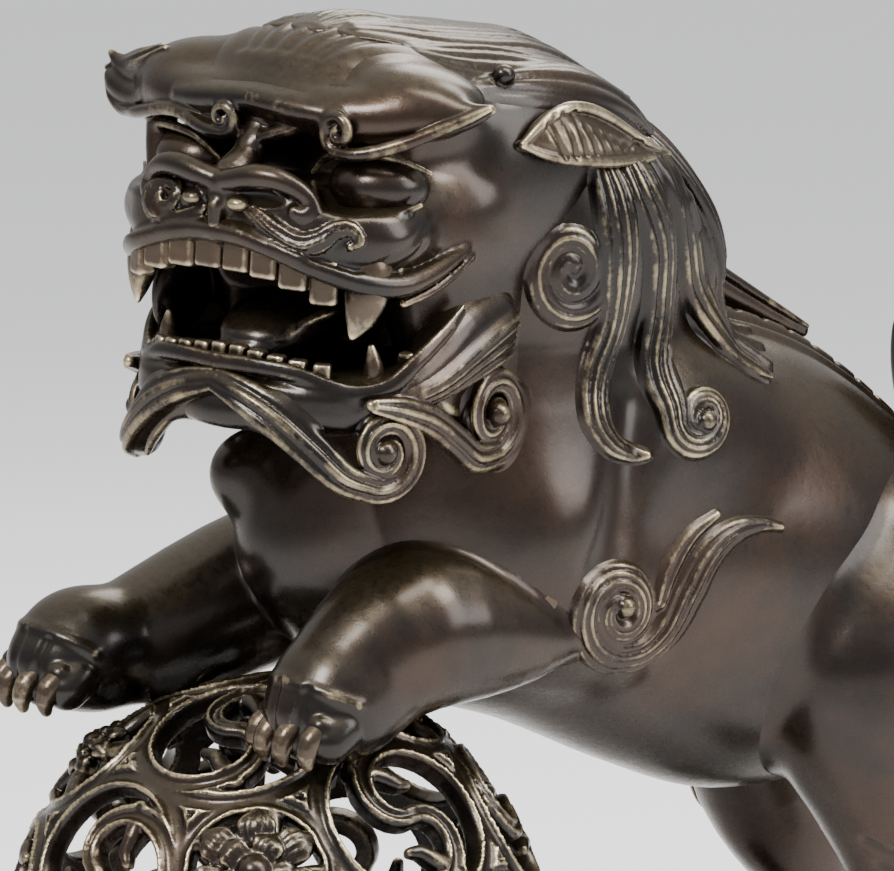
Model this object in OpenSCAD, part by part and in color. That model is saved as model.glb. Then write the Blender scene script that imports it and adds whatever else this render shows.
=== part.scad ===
// Foo dog: a guardian lion with its forepaws on an openwork ball, cast in hollow bronze sections.
// +X is the lion's left, -Y the way it faces, +Z up. It stands on its hind paws and on the ball.

/* [Ball] */
// Diameter of the openwork ball
ball_d = 165; // [150:1:180]
// Wall of the openwork ball
ball_wall = 6; // [5:0.5:8]
// Radius of the round openings
ball_hole_r = 18; // [14:0.5:19]

/* [Castings] */
// Wall of the hollow torso and head
wall = 5; // [4:0.5:7]
// Radius of the bronze assembly pins
pin_r = 2.5; // [2:0.25:3]
// Radius of the studs that hold the paws to the ball
stud_r = 3; // [2.5:0.25:3.5]

/* [Pose] */
// Turn of the head towards the lion's left, in degrees
head_turn = 21; // [15:1:25]
// Tilt of the head towards the lion's left, in degrees
head_tilt = 4; // [0:1:6]

/* [Hidden] */

bronze = "#3b2a1e";
worn_bronze = "#7d6238";
ball_r = ball_d / 2;
// Height of the ball's centre in the modelling frame, whose floor cuts a small flat under the ball
ball_z = ball_r;
flat_cut = 1.2;
// Moves the modelling frame, centred on the ball, so that the whole statue is centred on the origin
centring = [-6.7, -103.4, -flat_cut];
// Facets round each kind of cast shape, and round the sockets cut in them
fn_body = 14;
fn_inner = 8;
fn_limb = 10;
fn_scroll = 6;
fn_socket = 12;
fit = 0.2;
pin_fit = 0.1;

// Where the head's own frame sits, between the eyes
head_at = [29, -12, 317.5];

// ---------- helpers ----------

module blob(s, grow = 0)
    translate([s[0], s[1], s[2]]) scale([s[3] + grow, s[4] + grow, s[5] + grow]) sphere(1);

// A smooth chain of ellipsoids: each station is [x, y, z, radius x, radius y, radius z]
module chain(stations, grow = 0)
    for (i = [0 : len(stations) - 2])
        hull() {
            blob(stations[i], grow);
            blob(stations[i + 1], grow);
        }

// A round tapering lock: each point is [x, y, z, radius]
module lock(points)
    for (i = [0 : len(points) - 2])
        hull() {
            translate([points[i][0], points[i][1], points[i][2]]) sphere(points[i][3]);
            translate([points[i + 1][0], points[i + 1][1], points[i + 1][2]]) sphere(points[i + 1][3]);
        }

// A scroll end: a flat disc with a button, its face turned about Z and then tipped
module scroll_end(at, r, thick, turn, tip = 90)
    translate(at) rotate([0, 0, turn]) rotate([tip, 0, 0]) {
        cylinder(r = r, h = thick, center = true, $fn = 16);
        cylinder(r = r * 0.4, h = thick + 4, center = true, $fn = 10);
    }

module flip(right) mirror([right ? 1 : 0, 0, 0]) children();

// The head's own frame: X to its left, -Y the way it faces
module in_head() translate(head_at) rotate([0, 0, head_turn]) rotate([0, head_tilt, 0]) children();

module in_place() translate(centring) children();

// A round bar across the statue, the same on both sides; at is its middle on the left
module cross_pins(at, r, length, facets = fn_socket) for (s = [-1, 1])
    translate([s * at[0], at[1], at[2]]) rotate([0, 90, 0]) cylinder(r = r, h = length, center = true, $fn = facets);

// ---------- stations, measured from the ball's centre line ----------

torso_stations = [
    [0, -4, 202, 24, 18, 22], [0, 14, 203, 42, 24, 36], [0, 42, 203, 51, 28, 46], [0, 80, 201, 57, 30, 54],
    [0, 118, 197, 58, 32, 62], [0, 152, 191, 58, 32, 67], [0, 186, 180, 56, 32, 60], [0, 216, 171, 50, 28, 49],
    [0, 238, 167, 38, 24, 36]
];
neck_stations = [[0, 52, 226, 48, 46, 34], [4, 62, 250, 50, 50, 30]];
mane_stations = [[6, 66, 286, 52, 52, 34], [2, 84, 300, 50, 48, 40], [2, 92, 306, 46, 42, 38]];
skull_stations = [[0, 12, -2, 43, 16, 30], [0, 30, 10, 46, 28, 35], [0, 60, 4, 49, 40, 38], [0, 84, -6, 46, 40, 40]];
muzzle_stations = [[0, 0, -14, 36, 26, 14], [0, 20, -18, 42, 26, 18], [0, 48, -30, 44, 30, 26]];
jaw_stations = [[0, -2, -62, 34, 22, 9], [0, 22, -66, 38, 24, 12], [0, 52, -62, 40, 26, 20]];

left_foreleg_stations = [
    [36, 84, 192, 24, 34, 36], [42, 56, 186, 22, 26, 26], [46, 30, 180, 20, 22, 21], [47, 8, 171, 19, 20, 19],
    [46, -8, 162, 20, 18, 15], [45, -24, 153, 20, 15, 11]
];
right_foreleg_stations = [
    [-34, 70, 196, 24, 34, 34], [-40, 40, 190, 21, 28, 25], [-44, 10, 184, 19, 24, 20], [-45, -16, 168, 18, 22, 21],
    [-47, -38, 168, 20, 18, 15], [-47, -56, 163, 20, 14, 11]
];
hind_leg_stations = [
    [40, 206, 172, 26, 42, 42], [44, 198, 150, 26, 38, 40], [48, 188, 122, 21, 24, 26], [51, 212, 92, 16, 20, 20],
    [53, 232, 62, 13, 15, 16], [54, 226, 34, 13, 14, 18], [54, 212, 13, 18, 18, 14], [54, 196, 9.5, 18, 14, 11]
];

// How far each toe of a paw stands from the paw's middle
toe_spread = [-14, -5, 5, 14];

// ---------- torso and neck ----------

module torso_solid(grow = 0) {
    chain(torso_stations, grow);
    chain(neck_stations, grow);
}

module torso_shell() color(bronze) in_place() difference() {
    torso_solid($fn = fn_body);
    difference() {
        torso_solid(-wall, $fn = fn_inner);
        neck_collar(neck_z[0] - 6);
    }
    neck_opening();
    pin_ring(neck_pin_z, pin_r);
    cross_pins(shoulder_pin_at, pin_r, pin_length + fit);
    cross_pins(hip_pin_at, pin_r, pin_length + fit);
    at_tail_root() cylinder(r = pin_r + fit / 2, h = 30, $fn = fn_socket);
}

neck_r = 34;
neck_at = [4, 62, 0];
// Bottom and top of the sleeve inside the neck
neck_z = [256, 290];
neck_pin_z = 263;
neck_pin_angles = [30, 150, 210, 330];
collar_wall = 7;
sleeve_wall = 5;

module neck_opening()
    translate(neck_at + [0, 0, 240]) cylinder(r = neck_r, h = 60, $fn = 32);

// A thick ring of metal round the neck opening, from height z upwards
module neck_collar(z)
    translate(neck_at + [0, 0, z]) cylinder(r = neck_r + collar_wall, h = neck_z[1] - z, $fn = 24);

// Short radial pins that lock the sleeve to the torso's collar
module pin_ring(z, r, facets = fn_socket)
    for (a = neck_pin_angles)
        translate(neck_at + [0, 0, z]) rotate([0, 90, a])
            translate([0, 0, neck_r - sleeve_wall]) cylinder(r = r, h = sleeve_wall + collar_wall - 2, $fn = facets);

// The cast ring inside the neck that lines the head up with the torso
module neck_sleeve() color(worn_bronze) in_place() difference() {
    translate(neck_at + [0, 0, neck_z[0]]) cylinder(r = neck_r - fit, h = neck_z[1] - neck_z[0], $fn = 32);
    translate(neck_at + [0, 0, neck_z[0] - 1]) cylinder(r = neck_r - sleeve_wall, h = 60, $fn = 32);
    pin_ring(neck_pin_z, pin_r, 24);
}

module neck_pins() color(worn_bronze) in_place() pin_ring(neck_pin_z, pin_r - pin_fit, 24);

spine_points = [
    [0, 148, 257, 5], [0, 164, 254, 6], [0, 178, 247, 6], [0, 192, 240, 6], [0, 206, 231, 6], [0, 220, 221, 5],
    [0, 234, 208, 5], [0, 246, 197, 4], [0, 254, 188, 3]
];

module spine_ridge() color(bronze) in_place() difference() {
    lock(spine_points, $fn = fn_scroll);
    torso_solid($fn = fn_body);
}

// ---------- head ----------

module head_solid(grow = 0) {
    chain(mane_stations, grow);
    in_head() chain(skull_stations, grow);
    in_head() chain(muzzle_stations, grow);
}

module head_shell() color(bronze) in_place() difference() {
    head_solid($fn = fn_body);
    difference() {
        head_solid(-wall, $fn = fn_inner);
        in_head() translate([-60, -60, -60]) cube([120, 70, 120]);
        neck_collar(240);
    }
    in_head() mouth_space();
    torso_solid($fn = fn_body);
    neck_opening();
    in_head() eye_seats();
    in_head() upper_tooth_set(fit);
    in_head() cross_pins(jaw_pin_at, pin_r, jaw_pin_length + fit);
}

// The open mouth between the jaws
module mouth_space() hull() {
    translate([0, -16, -40]) scale([30, 24, 12]) sphere(1, $fn = 20);
    translate([0, 24, -42]) scale([28, 20, 9]) sphere(1, $fn = 20);
}

eye_at = [31, 4, -1];
eye_r = 13;

module eye_seats() for (s = [-1, 1])
    translate([s * eye_at[0], eye_at[1], eye_at[2]]) sphere(eye_r + fit, $fn = 24);

module eye(right) in_place() in_head() flip(right) color(bronze)
    translate(eye_at) sphere(eye_r, $fn = 48);
module left_eye() eye(false);
module right_eye() eye(true);

brow_points = [
    [12, -17, 12, 6], [20, -21, 9, 7], [30, -20, 8, 7], [42, -14, 9, 7], [53, -5, 12, 6], [62, 3, 17, 5],
    [69, 7, 22, 3.5], [71, 9, 27, 2]
];
brow_back = [
    [10, -8, 20, 9], [24, -8, 18, 10], [36, -4, 19, 9], [48, 2, 20, 7], [58, 6, 22, 5]
];

module eyebrow(right) in_place() difference() {
    in_head() flip(right) {
        lock(brow_points, $fn = fn_scroll);
        lock(brow_back, $fn = fn_scroll);
    }
    head_solid($fn = fn_body);
    in_head() eye_seats();
}
module left_eyebrow() color(bronze) eyebrow(false);
module right_eyebrow() color(bronze) eyebrow(true);

module nose() color(bronze) in_place() difference() {
    in_head() {
        lock([[0, -14, 6, 10], [0, -24, -4, 11], [0, -28, -9, 9]], $fn = 8);
        for (s = [-1, 1]) {
            lock([[0, -26, -7, 9], [s * 14, -28, -7, 7], [s * 23, -24, -8, 7], [s * 27, -20, -9, 5]], $fn = 8);
        }
    }
    head_solid($fn = fn_body);
}

crest_points = [[0, 2, 34, 14], [0, 18, 42, 14], [0, 34, 47, 12], [0, 52, 44, 12], [0, 70, 38, 10]];

module crown_crest() color(bronze) in_place() difference() {
    in_head() {
        lock(crest_points, $fn = 8);
        for (s = [-1, 1]) lock([[s * 14, 14, 36, 12], [s * 22, 40, 36, 12], [s * 22, 66, 30, 9]], $fn = 8);
    }
    head_solid($fn = fn_body);
}

ear_points = [[44, 58, 12, 9], [52, 72, 13, 12], [57, 88, 11, 10], [60, 102, 6, 6], [61, 110, 2, 3]];

module ear(right) in_place() difference() {
    in_head() flip(right) intersection() {
        lock(ear_points, $fn = 12);
        hull() {
            translate([30, 40, -10]) cube([8, 90, 44]);
            translate([62, 50, -6]) cube([8, 70, 24]);
        }
    }
    head_solid($fn = fn_body);
    in_head() flip(right) translate([68, 82, 12]) rotate([0, 0, 12]) scale([9, 22, 8]) sphere(1, $fn = fn_limb);
}
module left_ear() color(bronze) ear(false);
module right_ear() color(bronze) ear(true);

// ---------- mouth ----------

// A row of teeth round the front of a jaw: the arch is half an ellipse in plan
module tooth_row(rx, ry, at_y, n, w, d, h, tall, z) {
    for (i = [0 : n - 1]) {
        a = -66 + 132 * i / (n - 1);
        translate([rx * sin(a), at_y - ry * cos(a), z - tall * pow(sin(a), 2)])
            rotate([0, 0, a]) cube([w, d, h], center = true);
    }
}

// The teeth, grown by a margin where they cut their own sockets
module upper_tooth_set(grow = 0) {
    tooth_row(32, 22, -4, 10, 5.4 + grow, 6 + grow, 10 + grow, 6, -25.5);
    for (s = [-1, 1])
        translate([s * 33, 3, -45]) cylinder(r1 = 1 + grow, r2 = 4.2 + grow, h = 16 + grow, $fn = 20);
}

module lower_tooth_set(grow = 0) {
    tooth_row(28, 19, -6, 9, 4.8 + grow, 5 + grow, 9 + grow, 3, -52);
    for (s = [-1, 1])
        translate([s * 34, 19, -58 - grow]) cylinder(r1 = 3.4 + grow, r2 = 0.8 + grow, h = 15, $fn = 20);
}

module upper_teeth() color(worn_bronze) in_place() in_head() upper_tooth_set();
module lower_teeth() color(worn_bronze) in_place() in_head() lower_tooth_set();

module jaw_solid() in_head() {
    chain(jaw_stations);
    lock([[-30, 12, -56, 5], [-27, -14, -56, 4.5], [-12, -25, -54, 4.5], [12, -25, -54, 4.5], [27, -14, -56, 4.5],
        [30, 12, -56, 5], [36, 24, -50, 5], [42, 34, -38, 4]], $fn = fn_scroll);
}

module lower_jaw() color(bronze) in_place() difference() {
    jaw_solid($fn = fn_limb);
    in_head() mouth_space();
    head_solid($fn = fn_body);
    torso_solid($fn = fn_body);
    in_head() lower_tooth_set(fit);
    in_head() cross_pins(jaw_pin_at, pin_r, jaw_pin_length + fit);
}

tongue_stations = [[0, 26, -49, 15, 14, 6], [0, 8, -47, 16, 14, 6], [0, -8, -46, 14, 11, 6], [0, -17, -50, 9, 7, 4]];

module tongue() color(bronze) in_place() difference() {
    in_head() chain(tongue_stations, $fn = fn_limb);
    difference() {
        jaw_solid($fn = fn_limb);
        in_head() mouth_space();
    }
}

// Bronze pins through the jaw's corners into the head, under the cheek scrolls
jaw_pin_at = [36, 44, -54];
jaw_pin_length = 12;
module jaw_pins() color(worn_bronze) in_place() in_head() cross_pins(jaw_pin_at, pin_r - pin_fit, jaw_pin_length, 24);

beard_points = [
    [4, -24, -63, 5], [16, -24, -64, 6], [28, -20, -68, 6], [38, -16, -76, 6], [46, -14, -86, 6], [52, -15, -92, 5]
];

module beard_scroll(right) in_place() difference() {
    in_head() flip(right) {
        lock(beard_points, $fn = fn_scroll);
        lock([[16, -20, -62, 5], [30, -14, -64, 5], [42, -10, -72, 5], [52, -13, -80, 4]], $fn = fn_scroll);
        scroll_end([53, -16, -82], 11, 8, 62);
    }
    jaw_solid($fn = fn_limb);
    torso_solid($fn = fn_body);
    head_solid($fn = fn_body);
}
module left_beard_scroll() color(bronze) beard_scroll(false);
module right_beard_scroll() color(bronze) beard_scroll(true);

cheek_points = [
    [40, 12, -66, 5], [45, 22, -68, 7], [49, 32, -72, 7], [52, 42, -76, 6], [55, 50, -74, 5]
];

module cheek_scroll(right) in_place() difference() {
    in_head() flip(right) {
        lock(cheek_points, $fn = fn_scroll);
        lock([[42, 18, -60, 5], [50, 32, -54, 6], [53, 42, -46, 6], [54, 50, -38, 4]], $fn = fn_scroll);
        scroll_end([56, 42, -66], 11, 8, 78);
    }
    jaw_solid($fn = fn_limb);
    torso_solid($fn = fn_body);
    head_solid($fn = fn_body);
}
module left_cheek_scroll() color(bronze) cheek_scroll(false);
module right_cheek_scroll() color(bronze) cheek_scroll(true);

// ---------- mane ----------

lock_a = [[52, 98, 316, 8], [55, 101, 296, 8], [56, 98, 276, 8], [57, 90, 256, 7], [58, 90, 238, 7], [57, 96, 230, 4]];
lock_b = [[50, 110, 314, 8], [54, 114, 292, 9], [56, 112, 268, 9], [58, 112, 250, 8], [60, 116, 238, 7]];
lock_c = [[44, 122, 308, 9], [46, 134, 290, 10], [48, 144, 272, 9], [48, 154, 258, 6], [48, 160, 250, 3]];
lock_d = [[24, 136, 312, 9], [25, 152, 294, 9], [26, 166, 276, 9], [27, 178, 262, 7], [28, 190, 254, 4]];

module mane_locks(right) in_place() difference() {
    flip(right) {
        lock(lock_a, $fn = fn_scroll);
        lock(lock_b, $fn = fn_scroll);
        lock(lock_c, $fn = fn_scroll);
        lock([[50, 116, 322, 7], [50, 128, 310, 9], [46, 134, 296, 6]], $fn = fn_scroll);
        scroll_end([60, 120, 240], 10, 8, 90);
        scroll_end([58, 72, 284], 12, 8, 84);
    }
    head_solid($fn = fn_body);
    torso_solid($fn = fn_body);
}
module left_mane_locks() color(bronze) mane_locks(false);
module right_mane_locks() color(bronze) mane_locks(true);

module nape_locks() color(bronze) in_place() difference() {
    union() {
        lock([[0, 132, 324, 10], [0, 146, 304, 11], [0, 158, 284, 11], [0, 170, 268, 9], [0, 182, 258, 5]],
            $fn = fn_scroll);
        for (s = [-1, 1]) scale([s, 1, 1]) lock(lock_d, $fn = fn_scroll);
    }
    head_solid($fn = fn_body);
    torso_solid($fn = fn_body);
    lock(spine_points, $fn = fn_scroll);
}

// ---------- legs ----------

module ball_clearance() translate([0, 0, ball_z]) sphere(ball_r + fit, $fn = 30);

module foreleg(stations) in_place() difference() {
    union() {
        chain(stations, $fn = fn_limb);
        toes(stations);
    }
    torso_solid($fn = fn_body);
    ball_clearance();
    stud_holes();
    cross_pins(shoulder_pin_at, pin_r, pin_length + fit);
    claws(stations, fore_claw_drop, fit, 6);
}

// Four toes in front of a paw's last station
module toes(stations) {
    end = stations[len(stations) - 1];
    for (t = toe_spread)
        translate([end[0] + t, end[1] - 9 + abs(t) * 0.3, end[2] - 1]) scale([6, 12, 9]) sphere(1, $fn = 12);
}

module left_foreleg() color(bronze) foreleg(left_foreleg_stations);
module right_foreleg() color(bronze) foreleg(right_foreleg_stations);

fore_claw_drop = 3;
hind_claw_drop = 1;

// One claw on each toe, pointing forward and down
module claws(stations, drop, grow = 0, facets = 20) {
    end = stations[len(stations) - 1];
    for (t = toe_spread)
        translate([end[0] + t, end[1] - 17 + abs(t) * 0.3, end[2] - drop]) rotate([112, 0, 0])
            translate([0, 0, -grow]) cylinder(r1 = 3.6 + grow, r2 = 0.8 + grow, h = 12, $fn = facets);
}
module left_fore_claws() color(worn_bronze) in_place() claws(left_foreleg_stations, fore_claw_drop);
module right_fore_claws() color(worn_bronze) in_place() claws(right_foreleg_stations, fore_claw_drop);

elbow_points = [
    [59, 62, 166, 5], [61, 74, 160, 6], [62, 88, 166, 7], [61, 100, 178, 7], [59, 112, 192, 6], [57, 124, 204, 5],
    [55, 136, 208, 3]
];

module elbow_flame(right) in_place() difference() {
    flip(right) {
        lock(elbow_points, $fn = fn_scroll);
        lock([[60, 84, 176, 5], [60, 96, 188, 5], [59, 106, 200, 4]], $fn = fn_scroll);
        scroll_end([60, 72, 178], 14, 9, 86);
    }
    torso_solid($fn = fn_body);
    chain(right ? right_foreleg_stations : left_foreleg_stations, $fn = fn_limb);
    cross_pins(shoulder_pin_at, pin_r, pin_length + fit);
}
module left_elbow_flame() color(bronze) elbow_flame(false);
module right_elbow_flame() color(bronze) elbow_flame(true);

module hind_leg(right) in_place() difference() {
    flip(right) {
        chain(hind_leg_stations, $fn = fn_limb);
        toes(hind_leg_stations);
    }
    torso_solid($fn = fn_body);
    floor_cut();
    cross_pins(hip_pin_at, pin_r, pin_length + fit);
    flip(right) claws(hind_leg_stations, hind_claw_drop, fit, 6);
}
module left_hind_leg() color(bronze) hind_leg(false);
module right_hind_leg() color(bronze) hind_leg(true);

// Everything below the floor, which leaves flat soles
module floor_cut() translate([-120, -120, flat_cut - 60]) cube([240, 420, 60]);

module hind_claws(right) in_place() difference() {
    flip(right) claws(hind_leg_stations, hind_claw_drop);
    floor_cut();
}
module left_hind_claws() color(worn_bronze) hind_claws(false);
module right_hind_claws() color(worn_bronze) hind_claws(true);

hock_points = [[62, 216, 100, 5], [62, 228, 96, 6], [60, 242, 92, 6], [58, 254, 96, 5], [56, 264, 104, 3]];

module hock_flame(right) in_place() difference() {
    flip(right) {
        lock(hock_points, $fn = fn_scroll);
        lock([[62, 222, 110, 4], [60, 236, 112, 5], [58, 248, 118, 4], [57, 256, 124, 2]], $fn = fn_scroll);
        scroll_end([62, 216, 108], 10, 8, 86);
    }
    flip(right) chain(hind_leg_stations, $fn = fn_limb);
}
module left_hock_flame() color(bronze) hock_flame(false);
module right_hock_flame() color(bronze) hock_flame(true);

// Pins that hold the leg castings to the torso
pin_length = 14;
shoulder_pin_at = [53, 58, 190];
hip_pin_at = [53, 206, 172];
module shoulder_pins() color(worn_bronze) in_place() cross_pins(shoulder_pin_at, pin_r - pin_fit, pin_length, 24);
module hip_pins() color(worn_bronze) in_place() cross_pins(hip_pin_at, pin_r - pin_fit, pin_length, 24);

// ---------- tail ----------

tail_points = [
    [0, 252, 184, 9], [0, 266, 196, 10], [0, 275, 214, 13], [0, 278, 234, 16], [0, 276, 256, 15], [0, 270, 276, 10],
    [0, 262, 292, 4]
];
tail_side = [[4, 270, 206, 8], [17, 274, 222, 9], [26, 274, 240, 8], [30, 268, 256, 3]];
tail_low = [[4, 264, 198, 7], [18, 266, 206, 7], [28, 266, 216, 6], [36, 262, 226, 3]];

module tail_plume() color(bronze) in_place() difference() {
    union() {
        lock(tail_points, $fn = 8);
        for (s = [-1, 1]) scale([s, 1, 1]) {
            lock(tail_side, $fn = fn_scroll);
            lock(tail_low, $fn = fn_scroll);
        }
    }
    torso_solid($fn = fn_body);
    lock(spine_points, $fn = fn_scroll);
    at_tail_root() cylinder(r = pin_r + fit / 2, h = 30.5, $fn = fn_socket);
}

module at_tail_root() translate([0, 238, 172]) rotate([-48, 0, 0]) children();

// A screw from inside the rump into the tail's root
module tail_screw() color(worn_bronze) in_place() at_tail_root() {
    cylinder(r = pin_r, h = 30, $fn = 32);
    translate([0, 0, -4]) cylinder(r = 5, h = 4, $fn = 6);
}

// ---------- ball ----------

// The pattern follows an icosahedron: round openings over its faces, rosettes over its corners
phi = (1 + sqrt(5)) / 2;
corners = [for (a = [-1, 1], b = [-phi, phi]) each [[0, a, b], [a, b, 0], [b, 0, a]]];
faces = concat(
    [for (a = [-1, 1], b = [-1, 1], c = [-1, 1]) [a, b, c]],
    [for (a = [-1, 1], b = [-1, 1]) each [[0, b * phi, a / phi], [a / phi, 0, b * phi], [b * phi, a / phi, 0]]]
);
// One corner faces up and forward
first_corner_polar = 62;
first_corner_azimuth = 324;
pattern_spin = 28;
corner_lean = atan(1 / phi);

module at_directions(directions, r) translate([0, 0, ball_z])
    rotate([0, first_corner_polar, first_corner_azimuth]) rotate([corner_lean, 0, pattern_spin])
        for (d = directions)
            rotate([0, acos(d[2] / norm(d)), atan2(d[1], d[0])]) translate([0, 0, r]) children();

module ball_holes() at_directions(faces, ball_r - 14) hull() {
    cylinder(r = ball_hole_r - 3, h = 1, $fn = fn_socket);
    translate([0, 0, 17]) cylinder(r = ball_hole_r + 1, h = 1, $fn = fn_socket);
}

module ball_shell() difference() {
    translate([0, 0, ball_z]) sphere(ball_r, $fn = 32);
    translate([0, 0, ball_z]) sphere(ball_r - ball_wall, $fn = 20);
    ball_holes();
    floor_cut();
    stud_holes();
    at_seam() cylinder(r = seam_pin_r + fit / 2, h = seam_pin_length + fit, center = true, $fn = 8);
    at_flowers() cylinder(r = flower_r + fit, h = 20, $fn = fn_socket);
}

module ball_upper_half() color(bronze) in_place() intersection() {
    ball_shell();
    translate([-100, -100, ball_z]) cube([200, 200, 100]);
}
module ball_lower_half() color(bronze) in_place() difference() {
    ball_shell();
    translate([-100, -100, ball_z]) cube([200, 200, 100]);
}

seam_pin_r = 1.5;
seam_pin_length = 8;
seam_pin_angles = [11, 42, 108, 149];

module at_seam() for (a = seam_pin_angles, half_turn = [0, 180])
    rotate([0, 0, a + half_turn]) translate([ball_r - ball_wall / 2, 0, ball_z]) children();

// Small pins that line up the two halves of the ball
module ball_seam_pins() color(worn_bronze) in_place()
    at_seam() cylinder(r = seam_pin_r, h = seam_pin_length, center = true, $fn = 24);

flower_r = 8;
flower_sink = 1.5;

module at_flowers() at_directions(corners, ball_r - flower_sink) children();

module ball_flowers() color(bronze) in_place() at_flowers() {
    cylinder(r = flower_r, h = 3.5, $fn = 24);
    cylinder(r = 3.5, h = 5.5, $fn = 20);
}

// ---------- studs and nuts that hold the paws ----------

left_stud = [45, -12];
right_stud = [-44, -16];

module at_stud(p) {
    length = sqrt(p[0] * p[0] + p[1] * p[1]);
    translate([0, 0, ball_z]) rotate([0, asin(length / ball_r), atan2(p[1], p[0])]) children();
}

module stud_holes() for (p = [left_stud, right_stud])
    at_stud(p) cylinder(r = stud_r + fit, h = ball_r + 8 + fit, $fn = fn_socket);

module paw_studs() color(worn_bronze) in_place() for (p = [left_stud, right_stud])
    at_stud(p) translate([0, 0, ball_r - ball_wall - 8]) cylinder(r = stud_r, h = ball_wall + 16, $fn = 32);

module paw_stud_nuts() color(worn_bronze) in_place() for (p = [left_stud, right_stud])
    at_stud(p) translate([0, 0, ball_r - ball_wall - 5.5]) difference() {
        cylinder(r = 6.4, h = 5, $fn = 6);
        translate([0, 0, -1]) cylinder(r = stud_r + 0.05, h = 7, $fn = 32);
    }

torso_shell();
neck_sleeve();
neck_pins();
spine_ridge();
head_shell();
crown_crest();
left_eye();
right_eye();
left_eyebrow();
right_eyebrow();
nose();
left_ear();
right_ear();
upper_teeth();
lower_jaw();
lower_teeth();
tongue();
jaw_pins();
left_beard_scroll();
right_beard_scroll();
left_cheek_scroll();
right_cheek_scroll();
left_mane_locks();
right_mane_locks();
nape_locks();
left_foreleg();
right_foreleg();
left_fore_claws();
right_fore_claws();
shoulder_pins();
left_elbow_flame();
right_elbow_flame();
left_hind_leg();
right_hind_leg();
left_hind_claws();
right_hind_claws();
hip_pins();
left_hock_flame();
right_hock_flame();
tail_plume();
tail_screw();
ball_upper_half();
ball_lower_half();
ball_seam_pins();
ball_flowers();
paw_studs();
paw_stud_nuts();
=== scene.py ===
"""Foo dog: a dark bronze guardian lion with its forepaws on an openwork ball.

Every casting is modelled like clay, as signed distances on a grid in millimetres, and then turned into a
mesh. The modelling frame has the ball's centre at (0, 0, BALL_R), +X to the lion's left, -Y the way it
faces and +Z up. The head has a frame of its own, with its origin between the eyes.
"""
import math

import bpy
import numpy as np
import openvdb
from mathutils import Euler, Matrix, Vector


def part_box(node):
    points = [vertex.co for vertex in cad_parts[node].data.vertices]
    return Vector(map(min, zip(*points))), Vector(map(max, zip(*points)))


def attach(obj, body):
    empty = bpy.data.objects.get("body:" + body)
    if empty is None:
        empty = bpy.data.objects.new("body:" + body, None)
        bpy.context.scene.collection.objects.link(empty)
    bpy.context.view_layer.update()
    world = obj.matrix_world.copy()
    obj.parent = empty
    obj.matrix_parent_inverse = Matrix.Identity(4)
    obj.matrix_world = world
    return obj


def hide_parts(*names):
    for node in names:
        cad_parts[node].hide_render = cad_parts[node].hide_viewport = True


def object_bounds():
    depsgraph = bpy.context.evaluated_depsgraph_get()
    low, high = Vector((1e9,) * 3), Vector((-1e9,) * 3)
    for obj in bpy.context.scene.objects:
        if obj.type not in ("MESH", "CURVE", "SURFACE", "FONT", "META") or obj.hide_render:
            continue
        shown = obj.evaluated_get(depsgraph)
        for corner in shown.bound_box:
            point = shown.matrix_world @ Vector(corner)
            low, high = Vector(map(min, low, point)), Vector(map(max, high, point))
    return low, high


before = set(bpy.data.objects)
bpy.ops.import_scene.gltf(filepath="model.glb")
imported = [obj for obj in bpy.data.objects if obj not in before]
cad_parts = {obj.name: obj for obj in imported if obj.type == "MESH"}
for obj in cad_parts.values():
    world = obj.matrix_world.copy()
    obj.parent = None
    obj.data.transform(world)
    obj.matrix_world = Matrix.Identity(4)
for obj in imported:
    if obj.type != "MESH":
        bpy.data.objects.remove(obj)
cad_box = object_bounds()

MM = 0.001
FAR = 40.0                 # distance, in mm, given to a grid before anything is modelled on it
SKIRT = 3.5                # how far round a shape its distances are kept, in mm
SINK = 0.25                # how far the edge of a fillet sinks into its host, in mm
COARSE = 1
SIDES = (1, -1)            # the lion's left, then its right

BALL_R = 82.5
ball_low, ball_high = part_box("ball_lower_half")
ORIGIN = Vector(((ball_low.x + ball_high.x) / 2, (ball_low.y + ball_high.y) / 2, ball_high.z - BALL_R * MM))
HEAD_AT = (29, -12, 317.5)
HEAD_TURN = math.radians(21)
HEAD_TILT = math.radians(4)
STATUE = Matrix.Identity(4)
HEAD = Matrix.Translation(HEAD_AT) @ Matrix.Rotation(HEAD_TURN, 4, "Z") @ Matrix.Rotation(HEAD_TILT, 4, "Y")


# ---------------- clay

def smooth_min(a, b, k):
    """The smaller of two distances, with the crease between them rounded over a width of k."""
    if k <= 0:
        return np.minimum(a, b)
    h = np.maximum(k - np.abs(a - b), 0)
    return np.minimum(a, b) - h * h / (4 * k)


def round_corner(a, b, r):
    """Distance to a corner rounded by r, from how far a place is past where each side's rounding starts."""
    return np.hypot(np.maximum(a, 0), np.maximum(b, 0)) + np.minimum(np.maximum(a, b), 0) - r


def curve_through(points, gap):
    """A smooth curve through the rows of points, sampled about every gap mm. Further columns go along."""
    p = np.array(points, float)
    if len(p) < 3:
        n = max(2, int(np.linalg.norm(p[1, :3] - p[0, :3]) / gap) + 1)
        t = np.linspace(0, 1, n)[:, None]
        return p[0] * (1 - t) + p[1] * t
    ends = np.vstack([2 * p[0] - p[1], p, 2 * p[-1] - p[-2]])
    rows = []
    for i in range(len(p) - 1):
        a, b, c, d = ends[i:i + 4]
        n = max(1, int(round(np.linalg.norm(c[:3] - b[:3]) / gap)))
        t = (np.arange(n) / n)[:, None]
        rows.append(0.5 * (2 * b + (c - a) * t + (2 * a - 5 * b + 4 * c - d) * t ** 2
            + (3 * b - a - 3 * c + d) * t ** 3))
    return np.vstack(rows + [p[-1:]])


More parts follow.
